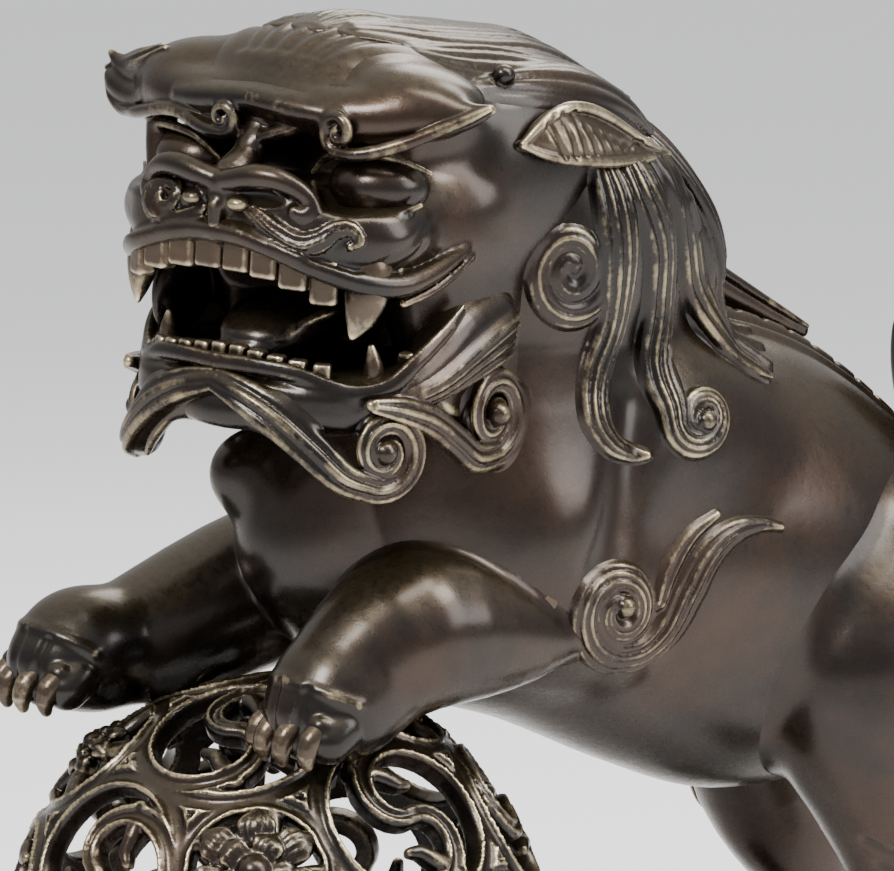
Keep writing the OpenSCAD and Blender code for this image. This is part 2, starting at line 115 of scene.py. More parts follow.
def blur(a, reach):
    """A box blur, reach cells to each side along every axis."""
    for axis in range(3):
        padded = np.pad(a, [(reach + 1, reach) if i == axis else (0, 0) for i in range(3)], mode="edge")
        total = np.cumsum(padded, axis=axis, dtype=np.float32)
        n = a.shape[axis]
        high = np.take(total, range(2 * reach + 1, 2 * reach + 1 + n), axis=axis)
        low = np.take(total, range(0, n), axis=axis)
        a = (high - low) / (2 * reach + 1)
    return a


class Clay:
    """Signed distances on a grid: negative inside the clay. Sizes are in mm, in the clay's own frame."""

    def __init__(self, low, high, step, place=STATUE):
        self.step = step * COARSE
        self.place = place
        self.low = np.array(low, np.float32)
        counts = np.ceil((np.array(high) - self.low) / self.step).astype(int) + 1
        self.axes = [self.low[i] + self.step * np.arange(counts[i], dtype=np.float32) for i in range(3)]
        self.d = np.full(counts, FAR, np.float32)
        self.relief = None         # the distances with the host still there, once the clay is fused to one

    def window(self, low, high):
        """The part of the grid between two corners."""
        cut = []
        for i in range(3):
            first = int(math.floor((low[i] - self.low[i]) / self.step))
            last = int(math.ceil((high[i] - self.low[i]) / self.step)) + 1
            n = self.d.shape[i]
            cut.append(slice(min(max(first, 0), n), min(max(last, 0), n)))
        return tuple(cut)

    def grid(self, cut):
        """The coordinates of a window's cells, each along its own axis."""
        x, y, z = (self.axes[i][cut[i]] for i in range(3))
        return x[:, None, None], y[None, :, None], z[None, None, :]

    def put(self, cut, field, k, how):
        """Adds a shape to the clay, or cuts it away, with a crease rounded over k."""
        if how == "add":
            self.d[cut] = smooth_min(self.d[cut], field, k)
        elif how == "cut":
            self.d[cut] = -smooth_min(-self.d[cut], field, k)
        else:
            self.d[cut] = -smooth_min(-self.d[cut], -field, k)

    def around(self, centre, half, turned_half, k, turn):
        """The window round a shape, and its cells' places along the shape's own axes."""
        reach = (turned_half if any(turn) else half) + k + SKIRT
        cut = self.window(np.array(centre) - reach, np.array(centre) + reach)
        p = [axis - middle for axis, middle in zip(self.grid(cut), centre)]
        if any(turn):
            m = np.array(Euler([math.radians(a) for a in turn]).to_matrix())
            p = [p[0] * m[0, i] + p[1] * m[1, i] + p[2] * m[2, i] for i in range(3)]
        return cut, p

    def ball(self, centre, radii, k=2.0, how="add", turn=(0, 0, 0)):
        """An ellipsoid, turned by degrees about X, Y and Z."""
        radii = np.broadcast_to(np.array(radii, float), 3)
        cut, p = self.around(centre, radii, radii.max(), k, turn)
        near = sum((p[i] / radii[i]) ** 2 for i in range(3)) ** 0.5
        slope = sum((p[i] / radii[i] ** 2) ** 2 for i in range(3)) ** 0.5
        self.put(cut, near * (near - 1) / (slope + 1e-6), k, how)

    def slab(self, centre, half, plan_round, edge_round, k=2.0, how="add", turn=(0, 0, 0)):
        """A box whose outline in plan and whose top and bottom edges are rounded."""
        cut, p = self.around(centre, np.array(half, float), np.linalg.norm(half), k, turn)
        qx, qy = np.abs(p[0]) - half[0] + plan_round, np.abs(p[1]) - half[1] + plan_round
        plan = round_corner(qx, qy, plan_round)
        wx, wz = plan + edge_round, np.abs(p[2]) - half[2] + edge_round
        self.put(cut, round_corner(wx, wz, edge_round), k, how)

    def line_distance(self, points, radii, reach, squash=None):
        """Distance to the tube round a polyline, in the window that holds it. squash = (normal, factor)."""
        low = points.min(0) - radii.max() - reach
        high = points.max(0) + radii.max() + reach
        whole = self.window(low, high)
        field = np.full([s.stop - s.start for s in whole], FAR, np.float32)
        for i in range(len(points) - 1):
            a, b = points[i], points[i + 1]
            r0, r1 = radii[i], radii[i + 1]
            pad = max(r0, r1) + reach
            cut = self.window(np.minimum(a, b) - pad, np.maximum(a, b) + pad)
            cut = tuple(slice(max(c.start, w.start), min(c.stop, w.stop)) for c, w in zip(cut, whole))
            if any(s.stop <= s.start for s in cut):
                continue
            x, y, z = self.grid(cut)
            length = max(float(np.linalg.norm(b - a)), 1e-6)
            way = (b - a) / length
            px, py, pz = x - a[0], y - a[1], z - a[2]
            u = px * way[0] + py * way[1] + pz * way[2]
            qx, qy, qz = px - u * way[0], py - u * way[1], pz - u * way[2]
            d2 = qx * qx + qy * qy + qz * qz
            if squash is not None:
                n, factor = squash
                along = qx * n[0] + qy * n[1] + qz * n[2]
                d2 = d2 + along * along * (factor * factor - 1)
            taper = float(np.clip((r1 - r0) / length, -0.9, 0.9))
            nearest = np.clip(u + taper / math.sqrt(1 - taper * taper) * np.sqrt(d2), 0, length)
            d = np.sqrt(d2 + (u - nearest) ** 2) - (r0 + (r1 - r0) / length * nearest)
            inner = tuple(slice(c.start - w.start, c.stop - w.start) for c, w in zip(cut, whole))
            field[inner] = np.minimum(field[inner], d)
        return whole, field

    def tube(self, points, k=1.5, how="add", squash=None, gap=None):
        """A tapering tube; each point is (x, y, z, radius). squash flattens it along a direction."""
        p = np.array(points, float)
        rows = curve_through(p, gap or max(1.2, 0.5 * float(p[:, 3].mean())))
        cut, field = self.line_distance(rows[:, :3], np.maximum(rows[:, 3], 0.2), k + SKIRT, squash)
        self.put(cut, field, k, how)

    def bundle(self, points, normal, count=3, k=0.4):
        """Strands side by side on a core, as in a lock of hair. Each point is (x, y, z, half width).
        The normal is a direction, or the clay that the lock lies on."""
        p = np.array(points, float)
        p = curve_through(p, max(1, 0.3 * float(p[:, 3].mean())))
        if isinstance(normal, Clay):
            up = normal.slope(p[:, :3])
        else:
            up = np.broadcast_to(np.array(normal, float), (len(p), 3))
        up = up / np.linalg.norm(up, axis=1)[:, None]
        across = np.cross(np.gradient(p[:, :3], axis=0), up)
        across /= np.linalg.norm(across, axis=1)[:, None]
        wide = np.maximum(p[:, 3], 0.5)
        core = p[:, :3] - up * (0.8 * wide)[:, None]
        self.put(*self.line_distance(core, 0.82 * wide, k + SKIRT), k, "add")
        thick = np.maximum(wide / count * 1.1, 0.45)
        for j in range(count):
            side = 2 * j / (count - 1) - 1 if count > 1 else 0
            aside = ((wide - thick) * side)[:, None]
            drop = (0.6 * side * side * thick)[:, None]
            strand = p[:, :3] + across * aside - up * drop
            self.put(*self.line_distance(strand, thick, k + SKIRT), k, "add")

    def groove(self, points, width, depth):
        """Presses a groove along a line on the surface. A depth below 0 raises a bead instead."""
        rows = curve_through(np.array(points, float), 1.5)
        cut, field = self.line_distance(rows[:, :3], np.zeros(len(rows)), 3 * width)
        self.d[cut] += depth * np.exp(-(field / width) ** 2)

    def depth_at(self, points):
        """The distance at each point, between grid cells."""
        g = (np.asarray(points, float) - self.low) / self.step
        g = np.clip(g, 0, np.array(self.d.shape) - 1.001)
        i = g.astype(int)
        f = g - i
        total = 0
        for dx in (0, 1):
            for dy in (0, 1):
                for dz in (0, 1):
                    w = (np.where(dx, f[:, 0], 1 - f[:, 0]) * np.where(dy, f[:, 1], 1 - f[:, 1])
                         * np.where(dz, f[:, 2], 1 - f[:, 2]))
                    total = total + w * self.d[i[:, 0] + dx, i[:, 1] + dy, i[:, 2] + dz]
        return total

    def slope(self, points):
        """The direction in which the distance grows at each point."""
        e = 1.5 * self.step
        return np.stack([(self.depth_at(points + e * axis) - self.depth_at(points - e * axis)) / (2 * e)
            for axis in np.eye(3)], axis=1)

    def snap(self, points, lift=0.0, along=None, rounds=8):
        """Moves points to lift mm above the clay's surface, by the shortest way or along a direction.
        Columns after the third stay."""
        p = np.array(points, float)
        for _ in range(rounds):
            slope = self.slope(p[:, :3])
            if along is None:
                way = slope / np.maximum(np.linalg.norm(slope, axis=1), 0.3)[:, None]
            else:
                way = np.broadcast_to(np.array(along, float), slope.shape)
            rise = np.maximum((slope * way).sum(1), 0.35)
            move = np.clip((self.depth_at(p[:, :3]) - lift) / rise, -12, 12)
            p[:, :3] -= way * move[:, None]
        return p

    def seen_from(self, other):
        """This clay's distance at every cell of another clay's grid."""
        m = np.array(self.place.inverted() @ other.place)
        high = self.low + self.step * (np.array(self.d.shape) - 1)
        y, z = np.meshgrid(other.axes[1], other.axes[2], indexing="ij")
        result = np.empty_like(other.d)
        for i, x in enumerate(other.axes[0]):
            cells = np.stack([np.full(y.size, x), y.ravel(), z.ravel()], axis=1) @ m[:3, :3].T + m[:3, 3]
            outside = np.maximum(np.maximum(self.low - cells, cells - high), 0).max(1)
            result[i] = (self.depth_at(cells) + outside).reshape(y.shape)
        return result

    def fuse(self, host, k):
        """Fillets the clay onto its host, and keeps only what is near its own shape.
        Its outer edge sinks a little into the host."""
        own = self.d
        self.relief = smooth_min(host.seen_from(self), own, k)
        sink = SINK * np.clip((own / k - 0.4) / 0.4, 0, 1)
        self.d = np.maximum(self.relief + sink, own - 0.9 * k)
        return self

    def copy(self):
        """Clay on the same grid, with distances of its own."""
        other = Clay.__new__(Clay)
        other.__dict__ = dict(self.__dict__)
        other.d = self.d.copy()
        return other


def spiral(centre, across, up, start, radius, turns, thick, thin=0.35, tightness=0.22):
    """Points of a scroll that winds inwards from an angle, in the plane of two directions.
    A positive turns value winds from across towards up. Each point is (x, y, z, tube radius)."""
    across, up = Vector(across).normalized(), Vector(up).normalized()
    count = max(8, int(abs(turns) * 20))
    rows = []
    for i in range(count + 1):
        t = i / count
        angle = math.radians(start) + 2 * math.pi * turns * t
        r = radius * (1 - (1 - tightness) * t)
        p = Vector(centre) + across * (r * math.cos(angle)) + up * (r * math.sin(angle))
        rows.append((*p, thick * (1 - (1 - thin) * t)))
    return rows


def on_side(rows, side):
    """The rows on the lion's left for side 1, or mirrored to its right for side -1."""
    return [(side * r[0], *r[1:]) for r in rows]


def side_clay(low, high, s, margin, step):
    """Empty clay on one side of the head, between two corners given for the left side."""
    return Clay(*box_round(on_side([low, high], s), margin), step, HEAD)


def box_round(points, margin):
    """The lowest and highest corner round some points, with a margin."""
    p = np.array([q[:3] for q in points], float)
    return p.min(0) - margin, p.max(0) + margin


# ---------------- meshes

def mesh_of(clay, name):
    """Turns clay into a mesh, with attributes that say how sharp (edge) and how sunken (hollow) it is."""
    band = 3 * clay.step
    grid = openvdb.FloatGrid(background=band)
    grid.copyFromArray(np.ascontiguousarray(np.clip(clay.d, -band, band), dtype=np.float32))
    points, quads = grid.convertToQuads(isovalue=0.0)[:2]
    local = points * clay.step + clay.low
    fine = max(1, round(1.0 / clay.step))
    wide = max(2, round(3.5 / clay.step))
    own = clay.d
    relief = own if clay.relief is None else clay.relief
    shapes = {}
    for label, reach, size in (("edge", fine, 0.35), ("hollow", wide, 1.6)):
        clay.d = blur(relief, reach) - relief
        shapes[label] = clay.depth_at(local) / size
    clay.d = own
    m = np.array(clay.place)
    world = (local @ m[:3, :3].T + m[:3, 3]) * MM + np.array(ORIGIN)
    mesh = bpy.data.meshes.new(name)
    mesh.vertices.add(len(world))
    mesh.vertices.foreach_set("co", world.astype(np.float32).ravel())
    mesh.loops.add(quads.size)
    mesh.loops.foreach_set("vertex_index", quads[:, ::-1].astype(np.int32).ravel())
    mesh.polygons.add(len(quads))
    mesh.polygons.foreach_set("loop_start", np.arange(0, quads.size, 4, dtype=np.int32))
    mesh.update(calc_edges=True)
    mesh.validate()
    mesh.shade_smooth()
    for label, values in shapes.items():
        attribute = mesh.attributes.new(label, "FLOAT", "POINT")
        attribute.data.foreach_set("value", np.clip(values, -2, 2).astype(np.float32))
    return mesh


def cast(clay, name, s=0, material=None):
    """A piece of the statue, from clay, that stands for the CAD node of the same name. s is its side."""
    name = {0: "", 1: "left_", -1: "right_"}[s] + name
    piece = bpy.data.objects.new(name, mesh_of(clay, name))
    bpy.context.scene.collection.objects.link(piece)
    piece.data.materials.append(material or bronze)
    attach(piece, "root")
    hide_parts(name)


# ---------------- bronze

def bronze_material(name, dark, warm, top, worn, wear, roughness):
    """Cast bronze: brown patina, dirt with painted shade in hollows, painted top light on upward faces, and
    ridges rubbed back to a golden tone.
    """
    material = bpy.data.materials.new(name)
    material.use_nodes = True
    nodes, links = material.node_tree.nodes, material.node_tree.links
    shader = nodes["Principled BSDF"]
    place = nodes.new("ShaderNodeTexCoord").outputs["Object"]

    def noise(scale, detail, rough):
        node = nodes.new("ShaderNodeTexNoise")
        node.inputs["Scale"].default_value = scale
        node.inputs["Detail"].default_value = detail
        node.inputs["Roughness"].default_value = rough
        links.new(place, node.inputs["Vector"])
        return node.outputs["Fac"]

    def span(value, low, high, to_low=0.0, to_high=1.0):
        node = nodes.new("ShaderNodeMapRange")
        for key, number in (("From Min", low), ("From Max", high), ("To Min", to_low), ("To Max", to_high)):
            node.inputs[key].default_value = number
        links.new(value, node.inputs["Value"])
        return node.outputs["Result"]

    def maths(operation, a, b):
        node = nodes.new("ShaderNodeMath")
        node.operation = operation
        for socket, value in zip(node.inputs, (a, b)):
            if isinstance(value, (int, float)):
                socket.default_value = value
            else:
                links.new(value, socket)
        return node.outputs[0]

    def mix(factor, a, b):
        node = nodes.new("ShaderNodeMix")
        node.data_type = "RGBA"
        links.new(factor, node.inputs["Factor"])
        for socket, value in ((node.inputs["A"], a), (node.inputs["B"], b)):
            if isinstance(value, tuple):
                socket.default_value = (*value, 1)
            else:
                links.new(value, socket)
        return node.outputs["Result"]

    def shape(label):
        node = nodes.new("ShaderNodeAttribute")
        node.attribute_name = label
        return node.outputs["Fac"]

    clouds = noise(14, 4, 0.6)
    swell = noise(75, 2, 0.5)
    speckle = noise(420, 6, 0.7)
    grain = noise(1400, 3, 0.6)
    upward = nodes.new("ShaderNodeSeparateXYZ")
    links.new(nodes.new("ShaderNodeNewGeometry").outputs["Normal"], upward.inputs[0])
    # Painted top light: faces that point up are painted lighter, toward the top colour.
    painted_top_light = span(upward.outputs["Z"], 0.35, 0.95)
    patches = maths("ADD", span(speckle, 0.3, 0.7, -0.15, 0.15),
        span(noise(55, 3, 0.6), 0.35, 0.65, -0.3, 0.12))
    edge = maths("ADD", shape("edge"), patches)
    rubbed = span(edge, wear[0], wear[1])
    # Hollows are painted darker: dirt together with painted shade, as falls in corners and creases.
    dirt_and_painted_shade = span(shape("hollow"), -0.1, -0.75)
    brown = mix(span(clouds, 0.42, 0.62), dark, warm)
    # Mixes in the painted top light on upward faces.
    brown = mix(maths("MULTIPLY", painted_top_light, span(speckle, 0.25, 0.7, 0.35, 0.9)), brown, top)
    # Darkens the hollows with dirt and painted shade.
    brown = mix(dirt_and_painted_shade, brown, tuple(0.35 * c for c in dark))
    colour = mix(rubbed, brown, worn)
    links.new(colour, shader.inputs["Base Color"])
    links.new(span(rubbed, 0, 1, 0.8, 0.97), shader.inputs["Metallic"])
    shader.inputs["Specular Tint"].default_value = (0.60, 0.55, 0.50, 1)
    rough = maths("ADD", span(speckle, 0.25, 0.75, roughness - 0.06, roughness + 0.1),
        maths("MULTIPLY", dirt_and_painted_shade, 0.25))
    links.new(rough, shader.inputs["Roughness"])
    shader.inputs["Coat Weight"].default_value = 0.45
    shader.inputs["Coat Roughness"].default_value = 0.22
    bump = nodes.new("ShaderNodeBump")
    bump.inputs["Strength"].default_value = 0.35
    bump.inputs["Distance"].default_value = 0.0004
    fine = maths("ADD", maths("MULTIPLY", speckle, 0.8), maths("MULTIPLY", grain, 0.35))
    links.new(maths("ADD", fine, maths("MULTIPLY", swell, 3.2)), bump.inputs["Height"])
    links.new(bump.outputs["Normal"], shader.inputs["Normal"])
    return material


# Colours: dark and warm patina, a lighter top colour painted on upward faces as top light, and golden worn
# ridges.
bronze = bronze_material("patinated_bronze", (0.010, 0.0075, 0.006), (0.032, 0.017, 0.010),
    (0.072, 0.053, 0.026), (0.50, 0.40, 0.24), (0.34, 1.15), 0.27)
worn_bronze = bronze_material("worn_bronze", (0.050, 0.034, 0.021), (0.090, 0.058, 0.035),
    (0.15, 0.110, 0.062), (0.56, 0.46, 0.30), (0.22, 1), 0.28)


# ---------------- stage

def studio():
    """A pale floor under a soft sky that brightens upwards."""
    floor_mesh = bpy.data.meshes.new("floor")
    far = 40
    floor_mesh.from_pydata([(-far, -far, 0), (far, -far, 0), (far, far, 0), (-far, far, 0)], [],
        [(0, 1, 2, 3)])
    floor = bpy.data.objects.new("floor", floor_mesh)
    bpy.context.scene.collection.objects.link(floor)
    floor.location.z = cad_box[0][2]
    paint = bpy.data.materials.new("floor_paint")
    paint.use_nodes = True
    paint.node_tree.nodes["Principled BSDF"].inputs["Base Color"].default_value = (0.9, 0.9, 0.89, 1)
    paint.node_tree.nodes["Principled BSDF"].inputs["Roughness"].default_value = 0.8
    floor_mesh.materials.append(paint)
    world = bpy.data.worlds.new("studio")
    world.use_nodes = True
    nodes, links = world.node_tree.nodes, world.node_tree.links
    height = nodes.new("ShaderNodeSeparateXYZ")
    links.new(nodes.new("ShaderNodeTexCoord").outputs["Generated"], height.inputs[0])
    glow = nodes.new("ShaderNodeMapRange")
    for key, number in (("From Min", 0), ("From Max", 0.8), ("To Min", 0.5), ("To Max", 1.1)):
        glow.inputs[key].default_value = number
    links.new(height.outputs["Z"], glow.inputs["Value"])
    links.new(glow.outputs["Result"], nodes["Background"].inputs["Strength"])
    nodes["Background"].inputs["Color"].default_value = (0.97, 0.98, 1, 1)
    bpy.context.scene.world = world


VIEW_AZIMUTH = math.radians(57)        # the main view, turned from straight ahead to the lion's left
VIEW_HEIGHT = math.radians(8)
VIEW_DISTANCE = 1.5
VIEW_ACROSS = 0.051        # how far the view's middle lies to the right of the ball's centre
VIEW_ABOVE = 0.1529        # and how far above it
VIEW_WIDTH = 0.268         # width of what the camera shows at the ball's distance
SENSOR = 36
LIGHT_AIM = 0.25           # height, over the ball's foot, of the point that the lamps face


def view_axes():
    """Right, up and towards the viewer, for the main view."""
    right = Vector((math.cos(VIEW_AZIMUTH), math.sin(VIEW_AZIMUTH), 0))
    level = Vector((math.sin(VIEW_AZIMUTH), -math.cos(VIEW_AZIMUTH), 0))
    towards = level * math.cos(VIEW_HEIGHT) + Vector((0, 0, math.sin(VIEW_HEIGHT)))
    return right, towards.cross(right), towards


def camera():
    """The main view."""
    right, up, towards = view_axes()
    aim = ORIGIN + Vector((0, 0, BALL_R * MM)) + right * VIEW_ACROSS + up * VIEW_ABOVE
    data = bpy.data.cameras.new("camera")
    data.sensor_width = SENSOR
    data.lens = SENSOR * VIEW_DISTANCE / VIEW_WIDTH
    seen_from = bpy.data.objects.new("camera", data)
    seen_from.location = aim + towards * VIEW_DISTANCE
    seen_from.rotation_euler = (-towards).to_track_quat("-Z", "Y").to_euler()
    bpy.context.scene.collection.objects.link(seen_from)
    bpy.context.scene.camera = seen_from


def light(name, across, above, towards, size, power):
    """A soft square light that faces the aim, placed from there to the viewer's right, above and nearer."""
    right, up, near = view_axes()
    aim = ORIGIN + Vector((0, 0, LIGHT_AIM))
    data = bpy.data.lights.new(name, "AREA")
    data.size = size
    data.energy = power
    lamp = bpy.data.objects.new(name, data)
    lamp.location = aim + right * across + up * above + near * towards
    lamp.rotation_euler = (aim - lamp.location).to_track_quat("-Z", "Y").to_euler()
    bpy.context.scene.collection.objects.link(lamp)


# ---------------- torso

def loft(clay, stations, k):
    """A body along Y through elliptical stations (y, middle x, middle z, half width, half height)."""
    rows = curve_through(stations, 2)
    y = clay.axes[1]
    x0, z0, rx, rz = (np.interp(y, rows[:, 0], rows[:, i])[None, :, None] for i in (1, 2, 3, 4))
    x, z = clay.axes[0][:, None, None], clay.axes[2][None, None, :]
    field = (np.sqrt(((x - x0) / rx) ** 2 + ((z - z0) / rz) ** 2) - 1) * np.minimum(rx, rz)
    past_end = np.maximum(rows[0, 0] - y, y - rows[-1, 0])[None, :, None]
    field = np.maximum(field, past_end).astype(np.float32)
    clay.d = smooth_min(clay.d, field, k)


TORSO = [(16, 0, 203, 36, 30), (42, 0, 201, 48, 45), (80, 0, 199, 54, 56), (118, 0, 193, 57, 67),
    (152, 0, 188, 57, 74), (186, 0, 183, 55, 69), (216, 0, 177, 49, 56), (238, 0, 171, 38, 42),
    (252, 0, 168, 26, 28), (260, 0, 167, 14, 14), (264, 0, 167, 4, 4)]


def body_mass():
    """The lion's trunk with its neck and the mass of the mane."""
    clay = Clay((-66, -30, 110), (66, 270, 348), 1.15)
    loft(clay, TORSO, 0)
    clay.ball((0, 32, 205), (38, 40, 35), 14)
    clay.ball((-13, -2, 224), (11, 11, 12), 9)
    for s in SIDES:
        clay.ball((s * 36, 66, 208), (27, 34, 38), 14)
        clay.ball((s * 44, 82, 304), (16, 26, 22), 14)
        clay.ball((s * 36, 84, 184), (22, 23, 24), 12)
        clay.ball((s * 28, 108, 236), (28, 42, 30), 20)
    clay.ball((2, 50, 230), (45, 46, 34), 18)
    clay.ball((5, 62, 252), (47, 50, 32), 18)
    clay.ball((6, 68, 284), (50, 52, 36), 18)
    clay.ball((0, 88, 298), (46, 46, 38), 18)
    clay.ball((0, 106, 284), (39, 40, 32), 22)
    clay.ball((0, 234, 171), (38, 31, 40), 10)
    for s in SIDES:
        valley = clay.snap([(s * 58, 92, 246), (s * 58, 88, 232), (s * 58, 81, 214), (s * 58, 74, 199)])
        clay.groove(valley, 7, 3.2)
    return clay


def spine_ridge(body):
    """A raised ridge along the back with a bead on each side."""
    ridge = [(0, y, z) for y, z in ((158, 264), (172, 258), (188, 250), (206, 238), (220, 225),
        (236, 210), (248, 196))]
    clay = Clay((-18, 150, 180), (18, 258, 276), 0.8)
    clay.tube(body.snap([(*p, 4.5) for p in ridge], 0.8), 2)
    for s in SIDES:
        clay.tube(body.snap([(s * 8, p[1], p[2], 2) for p in ridge], 0.2), 1.2)
    for i in range(9):
        y = 164 + 9.5 * i
        notch = body.snap([(x, y - abs(x) * 0.3, 308 - y * 0.35, 0.9) for x in (-5, 0, 5)], 4.6)
        clay.tube(notch, 1, "cut")
    cast(clay.fuse(body, 3), "spine_ridge")


# ---------------- head

def muzzle_front(x, inset=0.0):
    """How far forward the muzzle reaches, that far from its middle: a box with round corners."""
    return 28 - (59 - inset) * max(0, 1 - min(abs(x) / (47 - inset), 1) ** 4.5) ** (1 / 4.5)


def face_mass():
    """Skull, forehead, brow shelf, sockets, cheeks and muzzle."""
    clay = Clay((-64, -46, -72), (64, 132, 58), 0.8, HEAD)
    clay.ball((0, 66, -2), (49, 62, 43), 10)
    clay.ball((0, 30, 19), (45, 42, 22), 14)
    clay.ball((0, 12, 27), (36, 25, 15.5), 8)
    for s in SIDES:
        clay.ball((s * 27, 38, -14), (23, 40, 24), 12)
        clay.ball((s * 33, 42, -40), (16, 28, 22), 12)
        clay.ball((s * 44, 70, 6), (13, 34, 26), 14)
    clay.slab((0, 14, -12), (47, 45, 11), 26, 8, 7)
    shelf = [(-50, 2, 22, 6.5), (-38, -6, 21, 7), (-18, -13, 20.5, 6.5), (0, -13, 21, 6),
        (18, -13, 20.5, 6.5), (38, -6, 21, 7), (50, 2, 22, 6.5)]
    clay.tube(shelf, 7)
    for s in SIDES:
        clay.ball((s * 34, -13, 2), (18, 16, 9.5), 4, "cut", (0, 0, s * 24))
        clay.ball((s * 13, -20, 8), (7.5, 11, 5.5), 2.5, "cut", (0, s * 10, 0))
        clay.ball((s * 36, -3, -13), (14, 17, 9), 6, "add", (0, 0, s * 24))
        clay.tube(on_side([(2, -18.5, 11, 1.8), (9, -18.5, 13.6, 2.1), (18, -16.5, 17, 1.6)], s), 1.5)
    clay.tube([(0, -13, 15, 5), (0, -18, 8, 4), (0, -22, 2, 5.5), (0, -24, -4, 7)], 3)
    clay.tube([(-44, -4, 18, 4.6), (-44.5, -4, 10, 4.6), (-44, -5, 3, 4.2), (-43, -7, -5, 3)], 2)
    return clay


def whisker_rows(s):
    """A whisker lock from the nostril along the lip: a hook on the left cheek, a ring on the right."""
    if s > 0:
        return [(8, -32, -5.5, 1.6), (14, -32, -8.5, 2.6), (21, -31, -12.5, 3.4), (28, -29.6, -15, 3.6),
            (33, -27.6, -13.5, 3.2), (37, -25.6, -10, 2.6), (40.5, -23, -9.5, 2.1),
            (42.5, -21.5, -12.5, 1.6), (40.5, -23.5, -14.5, 1.2)]
    rows = [(5, -32, -8, 1.4), (11, -32, -11.5, 2.4), (17, -31, -13.5, 2.8)]
    return rows + spiral((20, -31, -6.5), (1, 0.1, 0), (0, 0, 1), -85, 7, 1.3, 2.8, 0.45, 0.25)


def head_shell(face):
    """The head with its lids, lip, whiskers, furrows and open upper mouth."""
    clay = face.copy()
    for s in SIDES:
        clay.bundle(face.snap(on_side(whisker_rows(s), s), 1.5), face, 3)
        lower_lid = [(18, -12, 0, 1), (24, -16, -6, 1.5), (33, -15.5, -9, 1.7), (42, -11, -8, 1.7),
            (50, -4, -3, 0.9)]
        clay.tube(on_side(lower_lid, s), 1.6)
        upper_lid = [(17, -11, 3, 0.9), (24, -13, 8.5, 1.3), (34, -12, 10.5, 1.5), (44, -7, 9.5, 1.4),
            (51, -1, 6, 0.9)]
        clay.tube(on_side(upper_lid, s), 1.4)
        for drop in (0, 5):
            fold = [(22, -17, -12 - drop), (33, -15, -15.5 - drop), (43, -10, -14 - drop),
                (52, -1, -9 - drop)]
            clay.groove(clay.snap(on_side(fold, s)), 1.5, 0.7)
    lip = [(0, -31.5, -14, 3.3), (9, -31.5, -14.5, 3.3), (20, -30.5, -17, 3.3), (32, -27, -21, 3.4),
        (41, -18, -25, 3.6), (46.5, -7, -26, 3.5), (48.5, 4, -23.5, 3.1), (49, 13, -20.5, 2.3),
        (49, 21, -18, 1.3)]
    for s in SIDES:
        clay.tube(on_side(lip, s), 1.6)
        clay.groove([(p[0], p[1] - 2.6, p[2] + 3.2) for p in on_side(lip[:5], s)], 1, 0.9)
        fold = [(46, -4, -31.5, 1.3), (48, 6, -28.5, 1.5), (49, 15, -24.5, 1.4), (49, 24, -20, 0.8)]
        clay.tube(on_side(fold, s), 1)
    clay.ball((0, -6, -31), (37, 36, 12), 3, "cut")
    clay.ball((-41.5, 9, -40), (4.5, 17, 17), 2)
    for x in (-21, -13, -4.5, 4.5, 13, 21):
        furrow = face.snap([(0.7 * x, -8, 38), (0.9 * x, 2, 44), (1.1 * x, 12, 46), (1.3 * x, 22, 46)])
        clay.groove(furrow, 2.4, 1.1)
    return clay


def eye(s):
    """A large bulging eyeball."""
    clay = side_clay((12, -22, -14), (56, 16, 16), s, 1, 0.6)
    middle = (33.5, -1.5, 0.6) if s > 0 else (-31, -2, 1.5)
    clay.ball(middle, (14.5, 13, 9.6), 0, "add", (0, 0, s * 24))
    cast(clay, "eye", s)


